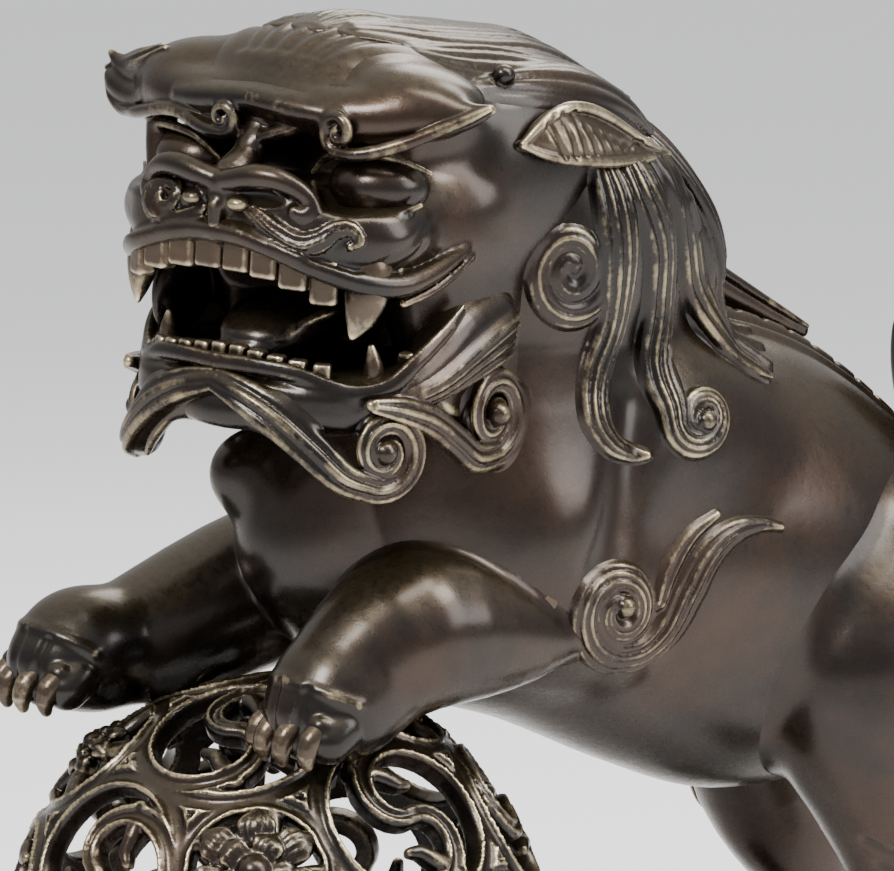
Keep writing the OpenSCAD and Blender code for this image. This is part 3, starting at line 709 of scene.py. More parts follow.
def eyebrow(face, s):
    """A flaring brow with a rim that curls into a spiral beside the nose bridge."""
    clay = side_clay((-8, -32, 4), (80, 40, 50), s, 1, 0.55)
    inner = [(20, -11, 20, 6.5), (31, -9.5, 19.5, 7.2), (40, -6, 20, 7)]
    outer = [(48, -2, 21, 6), (55, 1.5, 22, 4.8), (60, 4, 23, 3.4), (65, 6, 25, 1.6)]
    if s < 0:
        outer = [(48, -2, 18, 5.6), (55, 1, 16, 4.8), (62, 3.5, 16, 4.8), (68, 4.5, 18, 4.2),
            (71.5, 4, 20.5, 1.6)]
    clay.tube(on_side(inner + outer, s), 3)
    clay.ball((s * 38, 9, 27), (19, 18, 8), 6, "add", (0, s * 8, s * 22))
    if s > 0:
        rim = spiral((31, -18.8, 16.4), (-1, 0.12, 0), (0, -0.1, 1), -85, 6, 1.35, 1.9, 0.75, 0.2)[::-1]
        rim += [(36, -17.6, 10.6, 2), (42, -14.8, 12, 2.1), (50, -9.8, 15.5, 2), (57, -3.8, 19.8, 1.8),
            (62, 0.6, 22.8, 1.5), (66, 4, 25.6, 1)]
    else:
        rim = spiral((8, -22, 16.5), (-1, 0.05, 0), (0, -0.1, 1), -85, 4.6, 1.2, 1.7, 0.75, 0.2)[::-1]
        rim += [(12, -21.6, 12, 1.9), (18, -20.4, 13.2, 2), (26, -18.4, 15.6, 2), (34, -16, 15.6, 2),
            (42, -13, 14.2, 2), (50, -9, 12.5, 2), (57, -3.5, 11.5, 1.8), (64, 0.5, 11.2, 1.6),
            (70, 3, 14.2, 1.3), (72.5, 4, 20, 0.9)]
    clay.tube(on_side(rim, s), 0.8, gap=0.8)
    ledge = [(0, -19, 22.5, 3.2), (10, -19, 21.8, 3.2), (20, -18, 20.8, 3), (28, -16.5, 20.4, 2.4)]
    clay.tube(on_side(ledge, s), 1.6)
    if s < 0:
        flare = [(45, -1, 25, 6), (54, 2, 23.5, 5), (62, 4, 23, 4), (68, 5, 24, 2.6), (72, 5, 26.5, 1.2)]
        clay.tube(on_side(flare, s), 2)
        for i in range(4):
            start = (42 + 3 * i, -4 + 3 * i, 29 - i, 0.9)
            tip = (outer[-1][0] - 2 + 0.8 * i, 5, outer[-1][2] - 1 + 0.8 * i, 0.8)
            middle = ((start[0] + tip[0]) / 2, 2 * i - 1, 25 + i, 1.3)
            clay.tube(clay.snap(on_side([start, middle, tip], s), 0.35), 0.7)
    cast(clay.fuse(face, 3.2), "eyebrow", s)


def nose(face):
    """A broad nose whose crescent wings arch over the nostrils."""
    clay = Clay((-36, -42, -18), (36, 0, 22), 0.55, HEAD)
    clay.tube([(0, -16, 12, 3.4), (0, -20, 6, 4), (0, -26, 1.5, 5.4), (0, -28, -3, 6)], 2.5)
    for s in SIDES:
        clay.ball((s * 12, -26, -4), (13, 7, 5.5), 3, "add", (0, 0, s * 12))
    for s in SIDES:
        clay.ball((s * 16, -34, -3.4), (8.5, 6, 3.2), 1, "cut", (0, s * 6, s * 10))
    for s in SIDES:
        arch = [(0, -31, -0.5, 3.4), (6, -32.5, 1.2, 3.4), (13, -32.5, 2.8, 3.6), (20, -31, 2.6, 3.3),
            (26, -28.5, 0, 2.7), (29.5, -27, -3.6, 2.1), (28, -28.8, -6.4, 1.6), (25.5, -30, -5.6, 1.2)]
        clay.tube(on_side(arch, s), 0.9)
        clay.ball((s * 8, -33.5, -5.5), (3.4, 3, 2.2), 1.2)
        clay.groove(clay.snap(on_side([(4, -17, 10), (4.4, -23, 4), (5, -28, 0)], s)), 1, 0.5)
    clay.tube([(0, -33, -7, 2.6), (0, -33, -12, 2.2)], 2)
    cast(clay.fuse(face, 2.5), "nose")


def upper_teeth():
    """Square front teeth, a fang on each side and two teeth behind it."""
    clay = Clay((-50, -40, -46), (50, 10, -12), 0.55, HEAD)
    for x, low, half in ((5, -25.6, 4.85), (14.9, -26.4, 4.85), (24.6, -28.4, 4.75), (32.8, -31.8, 4)):
        for s in SIDES:
            y = muzzle_front(x, 2.5)
            turn = math.degrees(math.atan((muzzle_front(x + 2, 2.5) - muzzle_front(x - 2, 2.5)) / 4))
            clay.slab((s * x, y + 1, low + 6.5), (half, 3, 6.5), 1.8, 1.3, 0, "add", (0, 0, s * turn))
    for s in SIDES:
        fang = [(40.5, -13.5, -22, 6.6), (40.5, -14.5, -29, 6.2), (40, -16, -35, 4.2),
            (39, -18, -40.5, 1.2)]
        clay.tube(on_side(fang, s), 0.2, squash=((s * 0.75, -0.66, 0), 1.3))
        for y, low in ((-3, -29), (6, -27)):
            clay.slab((s * 43.5, y, low + 5), (2.8, 4, 5.5), 1.4, 1, 0.25)
    cast(clay, "upper_teeth", material=worn_bronze)


# ---------------- mouth

LOWER_LIP = [(0, -28.8, -52.3, 2.3), (12, -28, -52, 2.3), (24, -24.3, -53, 2.3), (32, -19.3, -56, 2.3),
    (38.5, -12.8, -57.8, 2.3), (44.3, -5.5, -55.5, 2.2), (48.2, 1.5, -48.5, 2), (49.5, 13, -41, 1.7),
    (50, 20, -35.5, 0.9)]


def jaw_mass():
    """The lower jaw's plain mass, with the mouth's floor cut in."""
    clay = Clay((-60, -40, -92), (60, 78, -18), 0.8, HEAD)
    clay.slab((0, 14, -62), (42, 42, 8), 24, 6, 0)
    clay.ball((0, -2, -66), (30, 26, 10), 8)
    for s in SIDES:
        side_wall = [(34, -8, -61, 5), (42, 2, -57, 6), (44, 14, -50, 7), (44, 26, -42, 8),
            (43, 40, -38, 9)]
        clay.tube(on_side(side_wall, s), 6)
        clay.ball((s * 37, 36, -56), (11, 24, 16), 10)
    clay.ball((0, 4, -46), (33, 29, 12), 3, "cut")
    return clay


def lower_jaw(jaw):
    """The jaw with its double lip and chin."""
    clay = jaw.copy()
    for s in SIDES:
        clay.tube(on_side(LOWER_LIP, s), 1)
        clay.tube(on_side([(p[0], p[1] - 0.6, p[2] + 1.6, 0.6 * p[3]) for p in LOWER_LIP], s), 0.4)
        under = [(p[0], p[1] - 0.4, p[2] - 5.4, 1.5) for p in LOWER_LIP[:5]]
        clay.tube(on_side(under, s), 1.2)
    clay.ball((0, -23, -66), (13, 8, 7), 4)
    clay.ball((0, -14, -78), (24, 18, 7), 6, "cut")
    return clay


def lower_teeth():
    """Small front teeth, with a fang and a back tooth on each side."""
    clay = Clay((-46, -36, -66), (46, 30, -36), 0.55, HEAD)
    for i in range(5):
        x = 3.2 + 6.4 * i
        y = -24.8 + 15 * (x / 40) ** 3
        turn = math.degrees(math.atan(15 * 3 * x * x / 40 ** 3))
        for s in SIDES:
            clay.slab((s * x, y + 1.6, -51.8 - 0.1 * x), (2.6, 2.4, 5), 1.2, 1, 0.1, "add",
                (0, 0, s * turn))
    for s in SIDES:
        clay.tube(on_side([(37, -4, -58, 3.6), (37.5, -5, -51, 2.8), (37, -6, -45, 1)], s), 0.3)
        clay.slab((s * 41, 8, -52), (2.6, 4, 5), 1.4, 1, 0.2)
    cast(clay, "lower_teeth", material=worn_bronze)


def tongue():
    """A tongue with a groove down its middle and raised edges."""
    clay = Clay((-26, -24, -64), (26, 50, -34), 0.6, HEAD)
    clay.tube([(0, 44, -46, 10), (0, 26, -44, 13), (0, 8, -43, 15), (0, -6, -44.5, 14), (0, -15, -49, 8)],
        2, squash=((0, 0, 1), 2.3))
    for s in SIDES:
        clay.tube(on_side([(10, 36, -42, 1.6), (14, 16, -39, 2), (14, 0, -40, 2), (9, -13, -45, 1.6),
            (2, -20, -49.5, 1.2)], s), 1.5)
    clay.groove([(0, 36, -40), (0, 16, -38), (0, 0, -38.5), (0, -12, -43)], 1.8, 1.6)
    cast(clay, "tongue")


def beard_scroll(hosts, s):
    """A lock from the chin that hangs and curls back below the corner of the jaw."""
    clay = side_clay((-4, -44, -96), (62, 16, -50), s, 2, 0.55)
    rows = [(1, -31, -57, 3.5), (12, -31.5, -60, 5), (23, -29.5, -65.5, 5.6), (33, -25.5, -73.5, 5.2),
        (40, -20, -81, 4.6)]
    rows += spiral((45.5, -7.5, -74), (0.35, 0.94, 0), (0, 0, 1), -118, 11.5, 1.55, 4.2, 0.4, 0.2)
    clay.bundle(on_side(rows, s), (s * 0.8, -0.6, 0), 3)
    inner = [(6, -29, -63, 2.5), (20, -26, -70, 3), (30, -21, -79, 2.4), (36, -15, -86, 1)]
    clay.bundle(on_side(inner, s), (s * 0.5, -0.8, -0.3), 2)
    clay.ball((s * 45.5, -8, -74), (3.6, 3.6, 3.6), 0.5)
    cast(clay.fuse(hosts, 3), "beard_scroll", s)


def cheek_scroll(hosts, s):
    """A lock that runs back from the jaw into a spiral, with a fan of hair above it."""
    clay = side_clay((40, -20, -92), (64, 60, -20), s, 2, 0.55)
    rows = [(46, -14, -60, 2.2), (49, -4, -62, 3.6), (50.5, 8, -66, 4.4), (51, 20, -73, 4.6),
        (51, 30, -79, 4.6)]
    rows += spiral((50.5, 38, -67), (0, 1, 0), (0, 0, 1), -80, 12.5, 1.5, 4.4, 0.4, 0.2)
    clay.bundle(on_side(rows, s), (s, 0, 0), 3)
    clay.ball((s * 51, 38, -67), (4.4, 3.8, 3.8), 0.5)
    for i in range(6):
        t = i / 5
        fan = [(48, -4 + 7 * t, -60.5 - 2 * t, 0.8), (50.5, 10 + 5 * t, -54.5 - 5 * t, 1.2),
            (51.5, 24 + 4 * t, -47 - 8 * t, 1.5), (51, 36 + 4 * t, -41.5 - 10 * t, 1.3),
            (49.5, 45 + 3 * t, -39 - 11.5 * t, 0.6)]
        clay.tube(hosts.snap(on_side(fan, s), 1.0 + 0.5 * (i % 2), (s, 0, 0)), 0.3)
    cast(clay.fuse(hosts, 3), "cheek_scroll", s)


# ---------------- hair

def crown_crest(face):
    """Locks combed back from the forehead, with a bead on each temple."""
    clay = Clay((-62, -18, 6), (62, 136, 62), 0.7, HEAD)
    middle = [(0, 8, 41, 5), (0, 18, 43.5, 10), (0, 32, 42.5, 13), (0, 50, 39, 12.5), (0, 74, 36, 12),
        (0, 98, 36, 10), (0, 122, 30, 6)]
    clay.bundle(middle, (0, 0, 1), 5)
    for s in SIDES:
        inner = [(12, 12, 41.5, 5), (18, 24, 40.5, 8), (21, 42, 38, 9), (22, 60, 36.5, 9),
            (21, 80, 35, 9), (20, 100, 31, 8), (18, 122, 24, 5)]
        clay.bundle(on_side(inner, s), (s * 0.4, 0, 1), 4)
        outer = [(28, 20, 36, 3.5), (34, 34, 34, 7), (37, 52, 32, 8.5), (39, 74, 28, 8.5),
            (37, 98, 24, 7.5), (34, 122, 17, 5)]
        clay.bundle(on_side(outer, s), (s * 0.8, 0, 0.9), 4)
        low = [(42, 34, 27, 3), (48, 50, 27, 6), (52, 72, 24, 7), (53, 92, 18, 6.5), (50, 112, 8, 5)]
        clay.bundle(on_side(low, s), (s, 0, 0.45), 3)
        clay.ball((s * 45, 40, 31), (3.4, 3.4, 3), 0.8)
    cast(clay.fuse(face, 3), "crown_crest")


def ear(face, s):
    """A leaf-shaped ear that lies back, with a raised rim and slanting slits."""
    clay = side_clay((36, 26, -4), (74, 116, 38), s, 1, 0.55)
    lean = (0.95, -0.12, 0.3)
    leaf = [(54, 40, 12, 1.5), (56.5, 47, 14.5, 5.5), (58, 54, 15, 7.8), (59, 63, 14.3, 7.8),
        (60, 74, 12, 6.2), (60.5, 86, 9, 4), (60.5, 96, 6.8, 2.2), (60, 104, 5.5, 1)]
    clay.tube(on_side(leaf, s), 1.5, squash=((s * lean[0], lean[1], lean[2]), 2.4))
    upper = [(54, 39, 12, 1), (57, 45, 18.5, 1.5), (59, 52, 22.2, 1.7), (60.5, 62, 21.6, 1.7),
        (61.5, 73, 17.8, 1.6), (61.8, 86, 12, 1.4), (61, 97, 8, 1.2), (60, 106, 5.5, 0.8)]
    lower = [(54, 39, 11.5, 1), (58, 46, 8.8, 1.6), (60.5, 55, 7, 1.8), (62, 67, 5.8, 1.8),
        (62.5, 80, 5.2, 1.6), (61.8, 93, 5.1, 1.3), (60, 106, 5.5, 0.8)]
    clay.tube(on_side(upper, s), 0.8)
    clay.tube(on_side(lower, s), 0.8)
    for i in range(9):
        y = 48 + 4.6 * i
        roof = 22 - 17 * max(0, (y - 50) / 50) ** 1.3
        slit = [(63, y - 3, roof - 2.5), (63.5, y - 0.5, 0.5 * roof + 4), (63.5, y + 2.5, 9)]
        clay.groove(clay.snap(on_side(slit, s)), 0.85, 1.9)
    cast(clay.fuse(face, 2.2), "ear", s, material=worn_bronze)


def sight(place):
    """The direction of the main view in a frame."""
    return np.array(place.to_3x3().inverted() @ view_axes()[2])


# The side locks, as the main view meets them. Each point is (x, y, z, half width)
SIDE_LOCKS = [[(54, 80, 318, 4), (58, 82, 306, 6.5), (60, 83, 290, 6.5), (60, 81, 272, 6),
    (60, 75, 256, 5.5), (60, 75, 244, 5), (60, 80, 236, 3.8), (60, 87, 232, 2.4), (60, 93, 231, 1)],
    [(54, 88, 322, 4), (58, 93, 310, 6.5), (59, 99, 294, 7), (59, 99, 276, 7), (58, 98, 258, 6.5),
    (58, 103, 245, 5)] + spiral((58, 114, 241), (0, 1, 0), (0, 0, 1), 185, 10, 1.35, 4.4, 0.4, 0.2),
    [(48, 100, 322, 5), (50, 110, 308, 7), (50, 119, 292, 7.5), (48, 129, 277, 7), (46, 140, 263, 5.5),
    (44, 148, 254, 3.2), (43, 153, 250, 1)]]
NECK_CURL = [(58, 84, 312, 1.5), (59, 82, 300, 2.6)] + spiral((59, 66, 287), (0, 1, 0), (0, 0, 1), 15,
    15.5, -1.9, 3.5, 0.5, 0.12)
TASSEL = [(50, 98, 326, 4), (50, 106, 316, 6), (50, 112, 305, 6.5), (50, 116, 297, 3.5)]


def mane_locks(figure, s):
    """Long locks behind the cheek, with curled ends, and a spiral curl in front of them."""
    locks = SIDE_LOCKS + [NECK_CURL, TASSEL]
    rows = [figure.snap(lock, 0.25 * lock[1][3], sight(STATUE)) for lock in locks]
    rows[2] = figure.snap(SIDE_LOCKS[2], 1.8)
    if s < 0:
        rows = [figure.snap(on_side(lock, s), 1.5) for lock in rows]
    low, high = box_round(np.vstack(rows), 9)
    clay = Clay(low, high, 0.6)
    for lock, count in zip(rows, (4, 4, 4, 3, 3)):
        clay.bundle(lock, figure, count)
    clay.ball(tuple(rows[1][-1][:3]), (3.2, 3.2, 3.2), 0.6)
    clay.tube([(*rows[4][2][:3], 3.4), (*rows[4][3][:3], 3)], 1)
    cast(clay.fuse(figure, 2.5), "mane_locks", s)


def nape_locks(figure):
    """Locks that cover the back of the neck, and one whose tip stands off the back."""
    rows = []
    for i in range(7):
        x = 13 * i - 39
        drop = 0.006 * x * x
        lock = [(0.9 * x - 8, 104, 336 - drop, 5), (x - 3, 122 - drop, 320, 7.2),
            (x, 136 - drop, 304, 7.6), (x, 145 - drop, 290, 7.2), (0.95 * x, 152 - drop, 277, 5.5),
            (0.9 * x, 159 - drop, 267, 3.2), (0.85 * x, 166 - drop, 260 - drop, 1)]
        rows.append(figure.snap(lock, 1.2 - 0.6 * (i % 2)))
    rows.append([(-8, 140, 300, 5), (-9, 151, 288, 7), (-10, 165, 278, 6.5), (-10, 180, 269, 5.6),
        (-10, 194, 261, 4.4), (-10, 203, 256, 3)])
    low, high = box_round(np.vstack(rows), 11)
    clay = Clay(low, high, 0.75)
    for lock in rows:
        clay.bundle(lock, (0, 0.6, 0.8), 4)
    cast(clay.fuse(figure, 3), "nape_locks")


# ---------------- legs

TOE_LENGTH = 10            # how far the toes reach ahead of a paw's middle, in mm
TOE_PLACES = (-13.5, -4.8, 4.8, 13.5)


def paw(clay, at):
    """Four short toes under the front of a paw, each with a knuckle, and a fold of skin above them."""
    x, y, z = at
    for across in TOE_PLACES:
        back = 0.32 * abs(across)
        clay.tube([(x + across * 0.9, y - 2, z - 1, 6.5),
            (x + across, y - TOE_LENGTH * 0.6 + back, z - 1, 7),
            (x + across * 1.05, y - TOE_LENGTH + back, z - 4, 6.6)], 0.8)
        clay.ball((x + across * 1.02, y - TOE_LENGTH - 2 + back, z + 0.5), (4.6, 4.4, 4), 0.9)
    fold = [(x + across, y - TOE_LENGTH * 0.45 + 0.3 * abs(across), z + 9 - 0.12 * abs(across))
        for across in (-19, -9, 0, 9, 19)]
    clay.groove(clay.snap(fold), 1.5, -1.3)
    for across in (-9, 0, 9):
        gap = [(x + across, y - 5 - TOE_LENGTH * 0.3, z + 10), (x + across, y - 12, z + 4),
            (x + across, y - 16, z - 2)]
        clay.groove(clay.snap(gap), 1.2, 1.8)


def claws(at, s, which):
    """Short blunt claws on a paw's toes."""
    x, y, z = at
    clay = Clay((x - 22, y - TOE_LENGTH - 20, z - 18), (x + 22, y - TOE_LENGTH + 12, z + 8), 0.45)
    for across in TOE_PLACES:
        tip = y - TOE_LENGTH + 0.32 * abs(across)
        clay.tube([(x + across * 1.05, tip - 3, z - 1, 3.9), (x + across * 1.06, tip - 6, z - 3.5, 3.6),
            (x + across * 1.06, tip - 7.5, z - 7, 2.9), (x + across * 1.05, tip - 7, z - 10, 1.8)], 0.4)
    cast(above_floor(clay), which + "_claws", s, material=worn_bronze)


FLOOR = 1.2                # height of the floor in the modelling frame, which cuts a flat under the ball


def above_floor(clay):
    """Cuts away what lies below the floor."""
    clay.d = np.maximum(clay.d, FLOOR - clay.axes[2][None, None, :])
    return clay


LEFT_ARM = [(53, 68, 177, 6), (50, 53, 179, 14), (47.5, 37, 182, 20.5), (46, 20, 183.5, 24),
    (45.5, 7, 178, 22), (46, -5, 171, 18)]
RIGHT_ARM = [(-36, 66, 196, 27), (-41, 40, 189, 25.5), (-45, 14, 181, 24), (-46.5, -10, 173, 21.5),
    (-47, -32, 168, 17)]
LEFT_PAW = (46, -9, 163)
RIGHT_PAW = (-47, -43, 167)


def foreleg(host, arm, at, s):
    """A foreleg along an arm's points, with its paw laid on the ball."""
    clay = Clay(*box_round(arm + [(at[0], at[1] - 26, at[2] - 16)], 33), 0.8)
    clay.tube(arm, 6)
    clay.ball(at, (19, 20, 15), 8)
    clay.ball((at[0], at[1] + 4, at[2] + 6), (18, 19, 15.5), 5)
    paw(clay, (at[0], at[1] - 4, at[2] - 2))
    clay.ball((0, 0, BALL_R), BALL_R - 1, 1, "cut")
    cast(clay.fuse(host, 3.5), "foreleg", s)


FLAME = [(60, 143, 205, 0.8), (60, 134, 206.5, 2), (60, 124, 204.5, 3.6), (60, 115, 198, 5),
    (60, 108, 188, 6), (60, 101, 177, 6.2), (60, 92, 171, 6)]


def elbow_flame(hosts, s):
    """A flame-shaped tuft that rises behind the elbow from a spiral."""
    rows = FLAME + spiral((60, 83.5, 184.5), (0, 1, 0), (0, 0, 1), -90, 14.5, -1.6, 5.4, 0.4, 0.16)
    rows = hosts.snap(rows, 1.2, sight(STATUE))
    second = hosts.snap([(60, 119, 211, 0.8), (60, 109, 205, 2), (60, 102, 196, 3), (60, 98, 186, 2.4)],
        1.2, sight(STATUE))
    if s < 0:
        rows, second = (hosts.snap(on_side(r, s), 1.2) for r in (rows, second))
    clay = Clay(*box_round(np.vstack([rows, second]), 10), 0.55)
    clay.bundle(rows, hosts, 4)
    clay.bundle(second, hosts, 2)
    clay.ball(tuple(rows[-1][:3]), (3.2, 3.2, 3.2), 0.5)
    cast(clay.fuse(hosts, 2), "elbow_flame", s)


HIND_LEG = [(36, 208, 180, 34), (42, 202, 156, 33), (47, 203, 130, 28), (50, 214, 106, 26),
    (52, 224, 86, 21.5), (53.5, 233, 64, 16), (54, 234, 42, 13.5), (54, 220, 20, 13.5)]
STRIDE = (-12, 5)          # how far the knees are moved back, on the left and on the right
HIND_PAW = (54, 199, 14)


def hind_leg(host, s):
    """A crouching hind leg with its paw on the floor. It is returned for its hock flame."""
    stride = STRIDE[0] if s > 0 else STRIDE[1]
    clay = Clay(*box_round(on_side(HIND_LEG + [(54, 174, 0)], s), 38), 1)
    clay.tube(on_side([(x, y + stride * (60 < z < 170), z, r) for x, y, z, r in HIND_LEG], s), 8)
    clay.ball((s * 44, 202 + stride, 152), (25, 37, 40), 12)
    clay.ball((s * 49, 227 + stride, 98), (20, 30, 31), 8)
    clay.tube(on_side([(54, 236, 84, 6), (55, 242, 62, 5), (54, 237, 40, 6)], s), 6)
    at = (s * HIND_PAW[0], HIND_PAW[1], HIND_PAW[2])
    clay.ball(at, (17.5, 20, 12), 7)
    clay.ball((at[0], 220, 11), (14, 14, 11), 6)
    paw(clay, (at[0], at[1] - 2, at[2] - 3))
    for dy in (0, 7):
        fold = clay.snap(on_side([(60, 176 + dy, 104 - dy), (66, 190 + dy, 100 - dy),
            (66, 204 + dy, 104 - dy)], s))
        clay.groove(fold, 2, 1.2)
    cast(above_floor(clay.fuse(host, 7)), "hind_leg", s)
    return clay


def hock_flame(leg, s):
    """A flame tuft that sweeps back from the hock."""
    stride = STRIDE[0] if s > 0 else STRIDE[1]
    middle = 216 + stride
    tip = [(58, middle + 50, 118, 0.8), (61, middle + 42, 111, 2.4)]
    upper_tip = [(58, middle + 40, 132, 0.8), (61, middle + 33, 126, 2.2)]
    rows = [(66, middle + 31, 101, 4.4), (68, middle + 18, 93, 5.4), (69, middle + 8, 89, 5.2)]
    rows += spiral((69, middle, 101), (0, 1, 0), (0, 0, 1), -85, 12, -1.5, 4.8, 0.4, 0.16)
    rows = np.vstack([on_side(tip, s), leg.snap(on_side(rows, s), 1.2)])
    upper = [(65, middle + 23, 119, 3.8), (68, middle + 12, 113, 4.2), (69, middle + 4, 112, 3)]
    upper = np.vstack([on_side(upper_tip, s), leg.snap(on_side(upper, s), 1.2)])
    clay = Clay(*box_round(np.vstack([rows, upper]), 9), 0.6)
    clay.bundle(rows, (s, 0.2, 0), 4)
    clay.bundle(upper, (s, 0.2, 0), 3)
    clay.ball(tuple(rows[-1][:3]), (3.2, 2.8, 2.8), 0.5)
    cast(clay.fuse(leg, 2.5), "hock_flame", s)


def tail_plume(body):
    """A bushy tail of flame locks that stands up from the rump."""
    clay = Clay((-44, 232, 166), (44, 294, 300), 0.75)
    clay.tube([(0, 250, 182, 9), (0, 266, 196, 10), (0, 272, 214, 11)], 4)
    backs = [[(0, 262, 196, 6), (0, 276, 214, 11), (0, 279, 236, 13), (0, 276, 258, 10), (0, 268, 276, 6),
        (0, 261, 291, 1.2)], [(5, 266, 200, 5), (14, 275, 216, 9), (20, 276, 236, 9.5), (21, 271, 254, 7),
        (17, 265, 268, 4), (12, 262, 278, 1)], [(6, 264, 196, 5), (19, 269, 206, 7.5),
        (29, 269, 220, 7.5), (34, 265, 235, 5), (34, 261, 248, 2.5), (31, 259, 256, 1)]]
    for lock, count in zip(backs, (6, 5, 4)):
        for s in SIDES:
            clay.bundle(on_side(lock, s), (s * 0.35, 1, 0.1), count)
    for s in SIDES:
        for z in (206, 228, 250):
            rows = [(3, 256, z - 8, 3), (8, 257, z, 4), (13, 258, z + 9, 3.4)]
            rows += spiral((8, 257, z + 11), (1, 0, 0), (0, 0, 1), -10, 5.5, 1.2, 2.6, 0.4, 0.2)
            clay.bundle(on_side(rows, s), (0, -1, 0), 2)
    cast(clay.fuse(body, 4), "tail_plume")


# ---------------- ball

GOLDEN = (1 + math.sqrt(5)) / 2
PATTERN_TURN = (Matrix.Rotation(math.radians(324), 3, "Z") @ Matrix.Rotation(math.radians(62), 3, "Y")
    @ Matrix.Rotation(math.radians(28), 3, "Z") @ Matrix.Rotation(math.atan(1 / GOLDEN), 3, "X"))
ROSETTE_REACH = math.radians(16.5)     # angular radius of the ring round each rosette
RING_REACH = math.radians(20.9)        # and of the ring round each opening


def turned(directions):
    """Directions of the ball's pattern, turned to the way it faces."""
    return [np.array(PATTERN_TURN @ Vector(d).normalized()) for d in directions]


def corner_directions():
    """An icosahedron's corners, where the rosettes are."""
    return turned([v for a in (-1, 1) for b in (-GOLDEN, GOLDEN)
        for v in ((0, a, b), (a, b, 0), (b, 0, a))])


def face_directions():
    """The middles of an icosahedron's faces, where the openings are."""
    cube = [(a, b, c) for a in (-1, 1) for b in (-1, 1) for c in (-1, 1)]
    g = GOLDEN
    rest = [v for a in (-1, 1) for b in (-1, 1)
        for v in ((0, b * g, a / g), (a / g, 0, b * g), (b * g, a / g, 0))]
    return turned(cube + rest)


def cell_axes(axis, start):
    """Two directions across an axis, the first turned towards a start direction."""
    first = start - axis * (axis @ start)
    first /= np.linalg.norm(first)
    return first, np.cross(axis, first)


def on_sphere(axis, first, second, polar, around, r):
    """A point r from the ball's centre, by its angle from an axis and its angle round it."""
    p = axis * math.cos(polar) + (first * math.cos(around) + second * math.sin(around)) * math.sin(polar)
    return tuple(p * r + np.array((0, 0, BALL_R)))


def nearest(directions, axis):
    """The direction that lies closest to an axis."""
    return max(directions, key=lambda d: d @ axis)


def ball_pattern():
    """The strands of the openwork, as lines on a sphere with a half width at each point."""
    r = BALL_R - 3.5
    corners, faces = corner_directions(), face_directions()
    strands = []
    for axis in corners:
        first, second = cell_axes(axis, nearest(faces, axis))
        strands.append([(*on_sphere(axis, first, second, ROSETTE_REACH, 2 * math.pi * i / 36, r), 3.9)
            for i in range(37)])
        for k in range(5):
            around = 2 * math.pi * (k + 0.5) / 5
            leaf = [(0.32, 0, 2.6), (0.6, 0.16, 3.2), (0.85, 0.22, 2.8), (1, 0.14, 2.2)]
            strands.append([(*on_sphere(axis, first, second, ROSETTE_REACH * part, around + ahead, r), wide)
                for part, ahead, wide in leaf])
    for axis in faces:
        first, second = cell_axes(axis, nearest(corners, axis))
        strands.append([(*on_sphere(axis, first, second, RING_REACH, 2 * math.pi * i / 44, r), 4.2)
            for i in range(45)])
        for turn in (0, 1):
            scroll, leaf = [], []
            for i in range(20):
                t = i / 19
                around = math.pi * turn + 0.5 + 2.9 * t
                scroll.append((*on_sphere(axis, first, second, RING_REACH * (1 - t ** 1.6), around, r),
                    4.4 - 1.2 * t))
            for t in (0, 0.33, 0.67, 1):
                around = math.pi * turn + 0.5 + 1.5 - 0.9 * t
                polar = RING_REACH * (0.72 - 0.27 * math.sin(2.2 * t) - 0.1 * t)
                leaf.append((*on_sphere(axis, first, second, polar, around, r), 3.4 - 1.6 * t))
            strands += [scroll, leaf]
    return strands


def openwork(upper):
    """Half of the pierced ball: channelled strands with raised rims, scrolls and leaves."""
    low, high = (-86, -86, -1), (86, 86, BALL_R)
    if upper:
        low, high = (-86, -86, BALL_R), (86, 86, 2 * BALL_R + 3)
    clay = Clay(low, high, 0.85)
    x, y, z = clay.grid((slice(None),) * 3)
    radius = np.sqrt(x * x + y * y + (z - BALL_R) ** 2)
    margin = np.full_like(clay.d, FAR)
    for strand in ball_pattern():
        p = np.array(strand)
        if (p[:, 2].max() < low[2] - 8) or (p[:, 2].min() > high[2] + 8):
            continue
        rows = curve_through(p, 2.5)
        cut, field = clay.line_distance(rows[:, :3], rows[:, 3], 5)
        margin[cut] = np.minimum(margin[cut], field)
    lateral = np.sqrt(np.maximum((margin + 4) ** 2 - (radius - (BALL_R - 3.5)) ** 2, 0)) - 4.0
    rim = np.exp(-((lateral + 1.1) / 0.8) ** 2)
    channel = np.clip((-lateral - 1.6) / 1.5, 0, 1)
    skin = BALL_R - 1.2 + 1.2 * rim - 0.9 * channel
    outer = radius - skin
    inner = (BALL_R - 7.5) - radius
    body = -smooth_min(-lateral, -np.maximum(outer, inner), 1.6)
    clay.d = np.maximum(body.astype(np.float32), (low[2] - z) if upper else (z - high[2]))
    above_floor(clay)
    cast(clay, "ball_upper_half" if upper else "ball_lower_half")


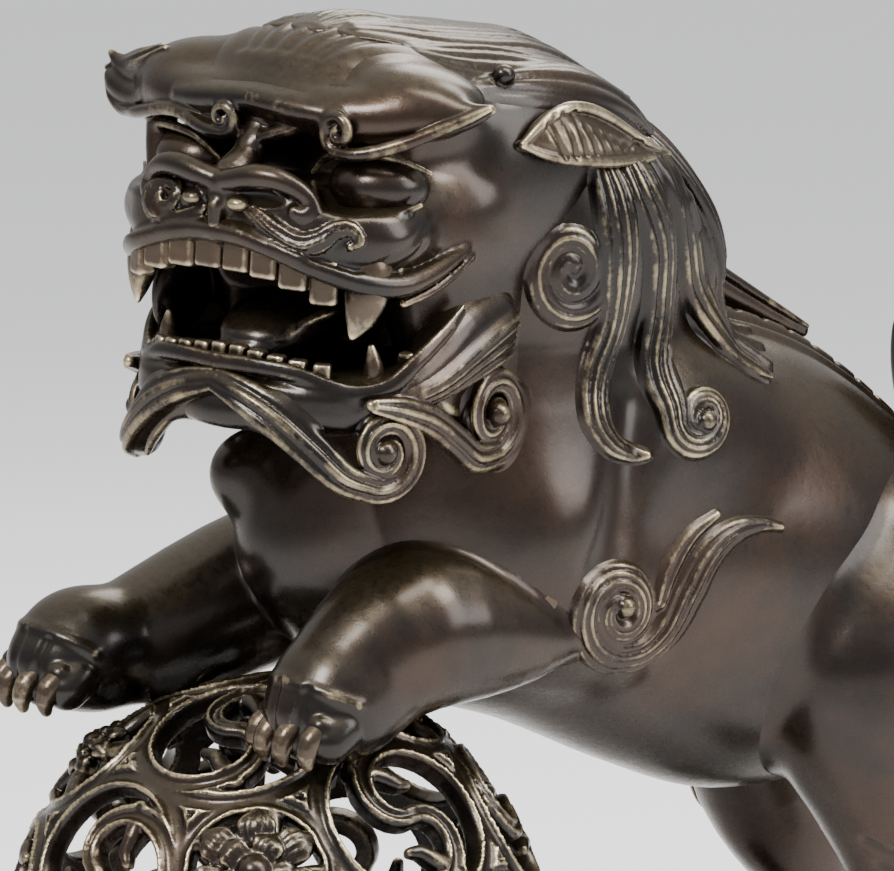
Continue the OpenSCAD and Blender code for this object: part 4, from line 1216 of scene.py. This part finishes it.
def ball_flowers():
    """Fluted rosettes over the pattern's corners, the foremost one a large peony."""
    corners, faces = corner_directions(), face_directions()
    clay = Clay((-92, -92, 0), (92, 92, 172), 0.8)
    front = nearest(corners, np.array(view_axes()[2]))
    for axis in corners:
        first, second = cell_axes(axis, nearest(faces, axis))
        size = 1.7 if axis is front else 1.0
        for ring, (count, start, reach, wide, lift) in enumerate(((7, 3.5, 10.5, 3.4, -1),
                (5, 1.5, 6.6, 2.8, 0.8))):
            for k in range(count):
                around = 2 * math.pi * (k + 0.5 * ring) / count
                out = first * math.cos(around) + second * math.sin(around)
                petal = []
                for t, rise, part in ((0, 0, 0.45), (0.4, 0.7, 0.85), (0.75, 1.1, 1), (1, 0.3, 0.55)):
                    at = axis * (BALL_R + lift + rise) + out * ((start + (reach - start) * t) * size)
                    petal.append((*(at + np.array((0, 0, BALL_R))), wide * part * size))
                clay.bundle(petal, tuple(axis), 5 if axis is front else 3)
        clay.ball(tuple(axis * (BALL_R + 1.2) + np.array((0, 0, BALL_R))), 3.0 * size, 0.5)
    cast(above_floor(clay), "ball_flowers")


def fastenings():
    """Gives worn bronze to the fastenings, which keep the shapes of the CAD."""
    for name in ("neck_sleeve", "neck_pins", "jaw_pins", "shoulder_pins", "hip_pins", "tail_screw",
            "ball_seam_pins", "paw_studs", "paw_stud_nuts"):
        node = bpy.data.objects[name]
        node.data.materials.clear()
        node.data.materials.append(worn_bronze)


def build():
    """Every piece of the statue, from the masses that the ornaments grow out of."""
    body = body_mass()
    face = face_mass()
    jaw = jaw_mass()
    spine_ridge(body)
    cast(body, "torso_shell")
    cast(head_shell(face), "head_shell")
    below = Clay((-64, -46, -100), (64, 80, 0), 1, HEAD)
    below.d = np.minimum(np.minimum(face.seen_from(below), jaw.seen_from(below)), body.seen_from(below))
    cast(lower_jaw(jaw).fuse(body, 4), "lower_jaw")
    figure = body.copy()
    figure.d = np.minimum(figure.d, face.seen_from(figure))
    nose(face)
    upper_teeth()
    lower_teeth()
    tongue()
    crown_crest(face)
    nape_locks(figure)
    for s in SIDES:
        eye(s)
        eyebrow(face, s)
        ear(face, s)
        beard_scroll(below, s)
        cheek_scroll(below, s)
        mane_locks(figure, s)
        arm, at = (LEFT_ARM, LEFT_PAW) if s > 0 else (RIGHT_ARM, RIGHT_PAW)
        foreleg(body, arm, at, s)
        claws((at[0], at[1] - 4, at[2] - 2), s, "fore")
        elbow_flame(body, s)
        leg = hind_leg(body, s)
        claws((s * HIND_PAW[0], HIND_PAW[1] - 2, HIND_PAW[2] - 3), s, "hind")
        hock_flame(leg, s)
    tail_plume(body)
    openwork(True)
    openwork(False)
    ball_flowers()
    fastenings()


build()

studio()
camera()
light("key", -0.55, 0.75, 0.95, 0.35, 19)
light("side", 0.95, 1.1, 0.55, 0.6, 22)
light("top", 0.35, 1.3, 0.55, 0.5, 9)
light("panel", 1.3, 0.45, 0.6, 0.7, 12)
light("rim", 0.3, 1, -0.9, 0.6, 7)
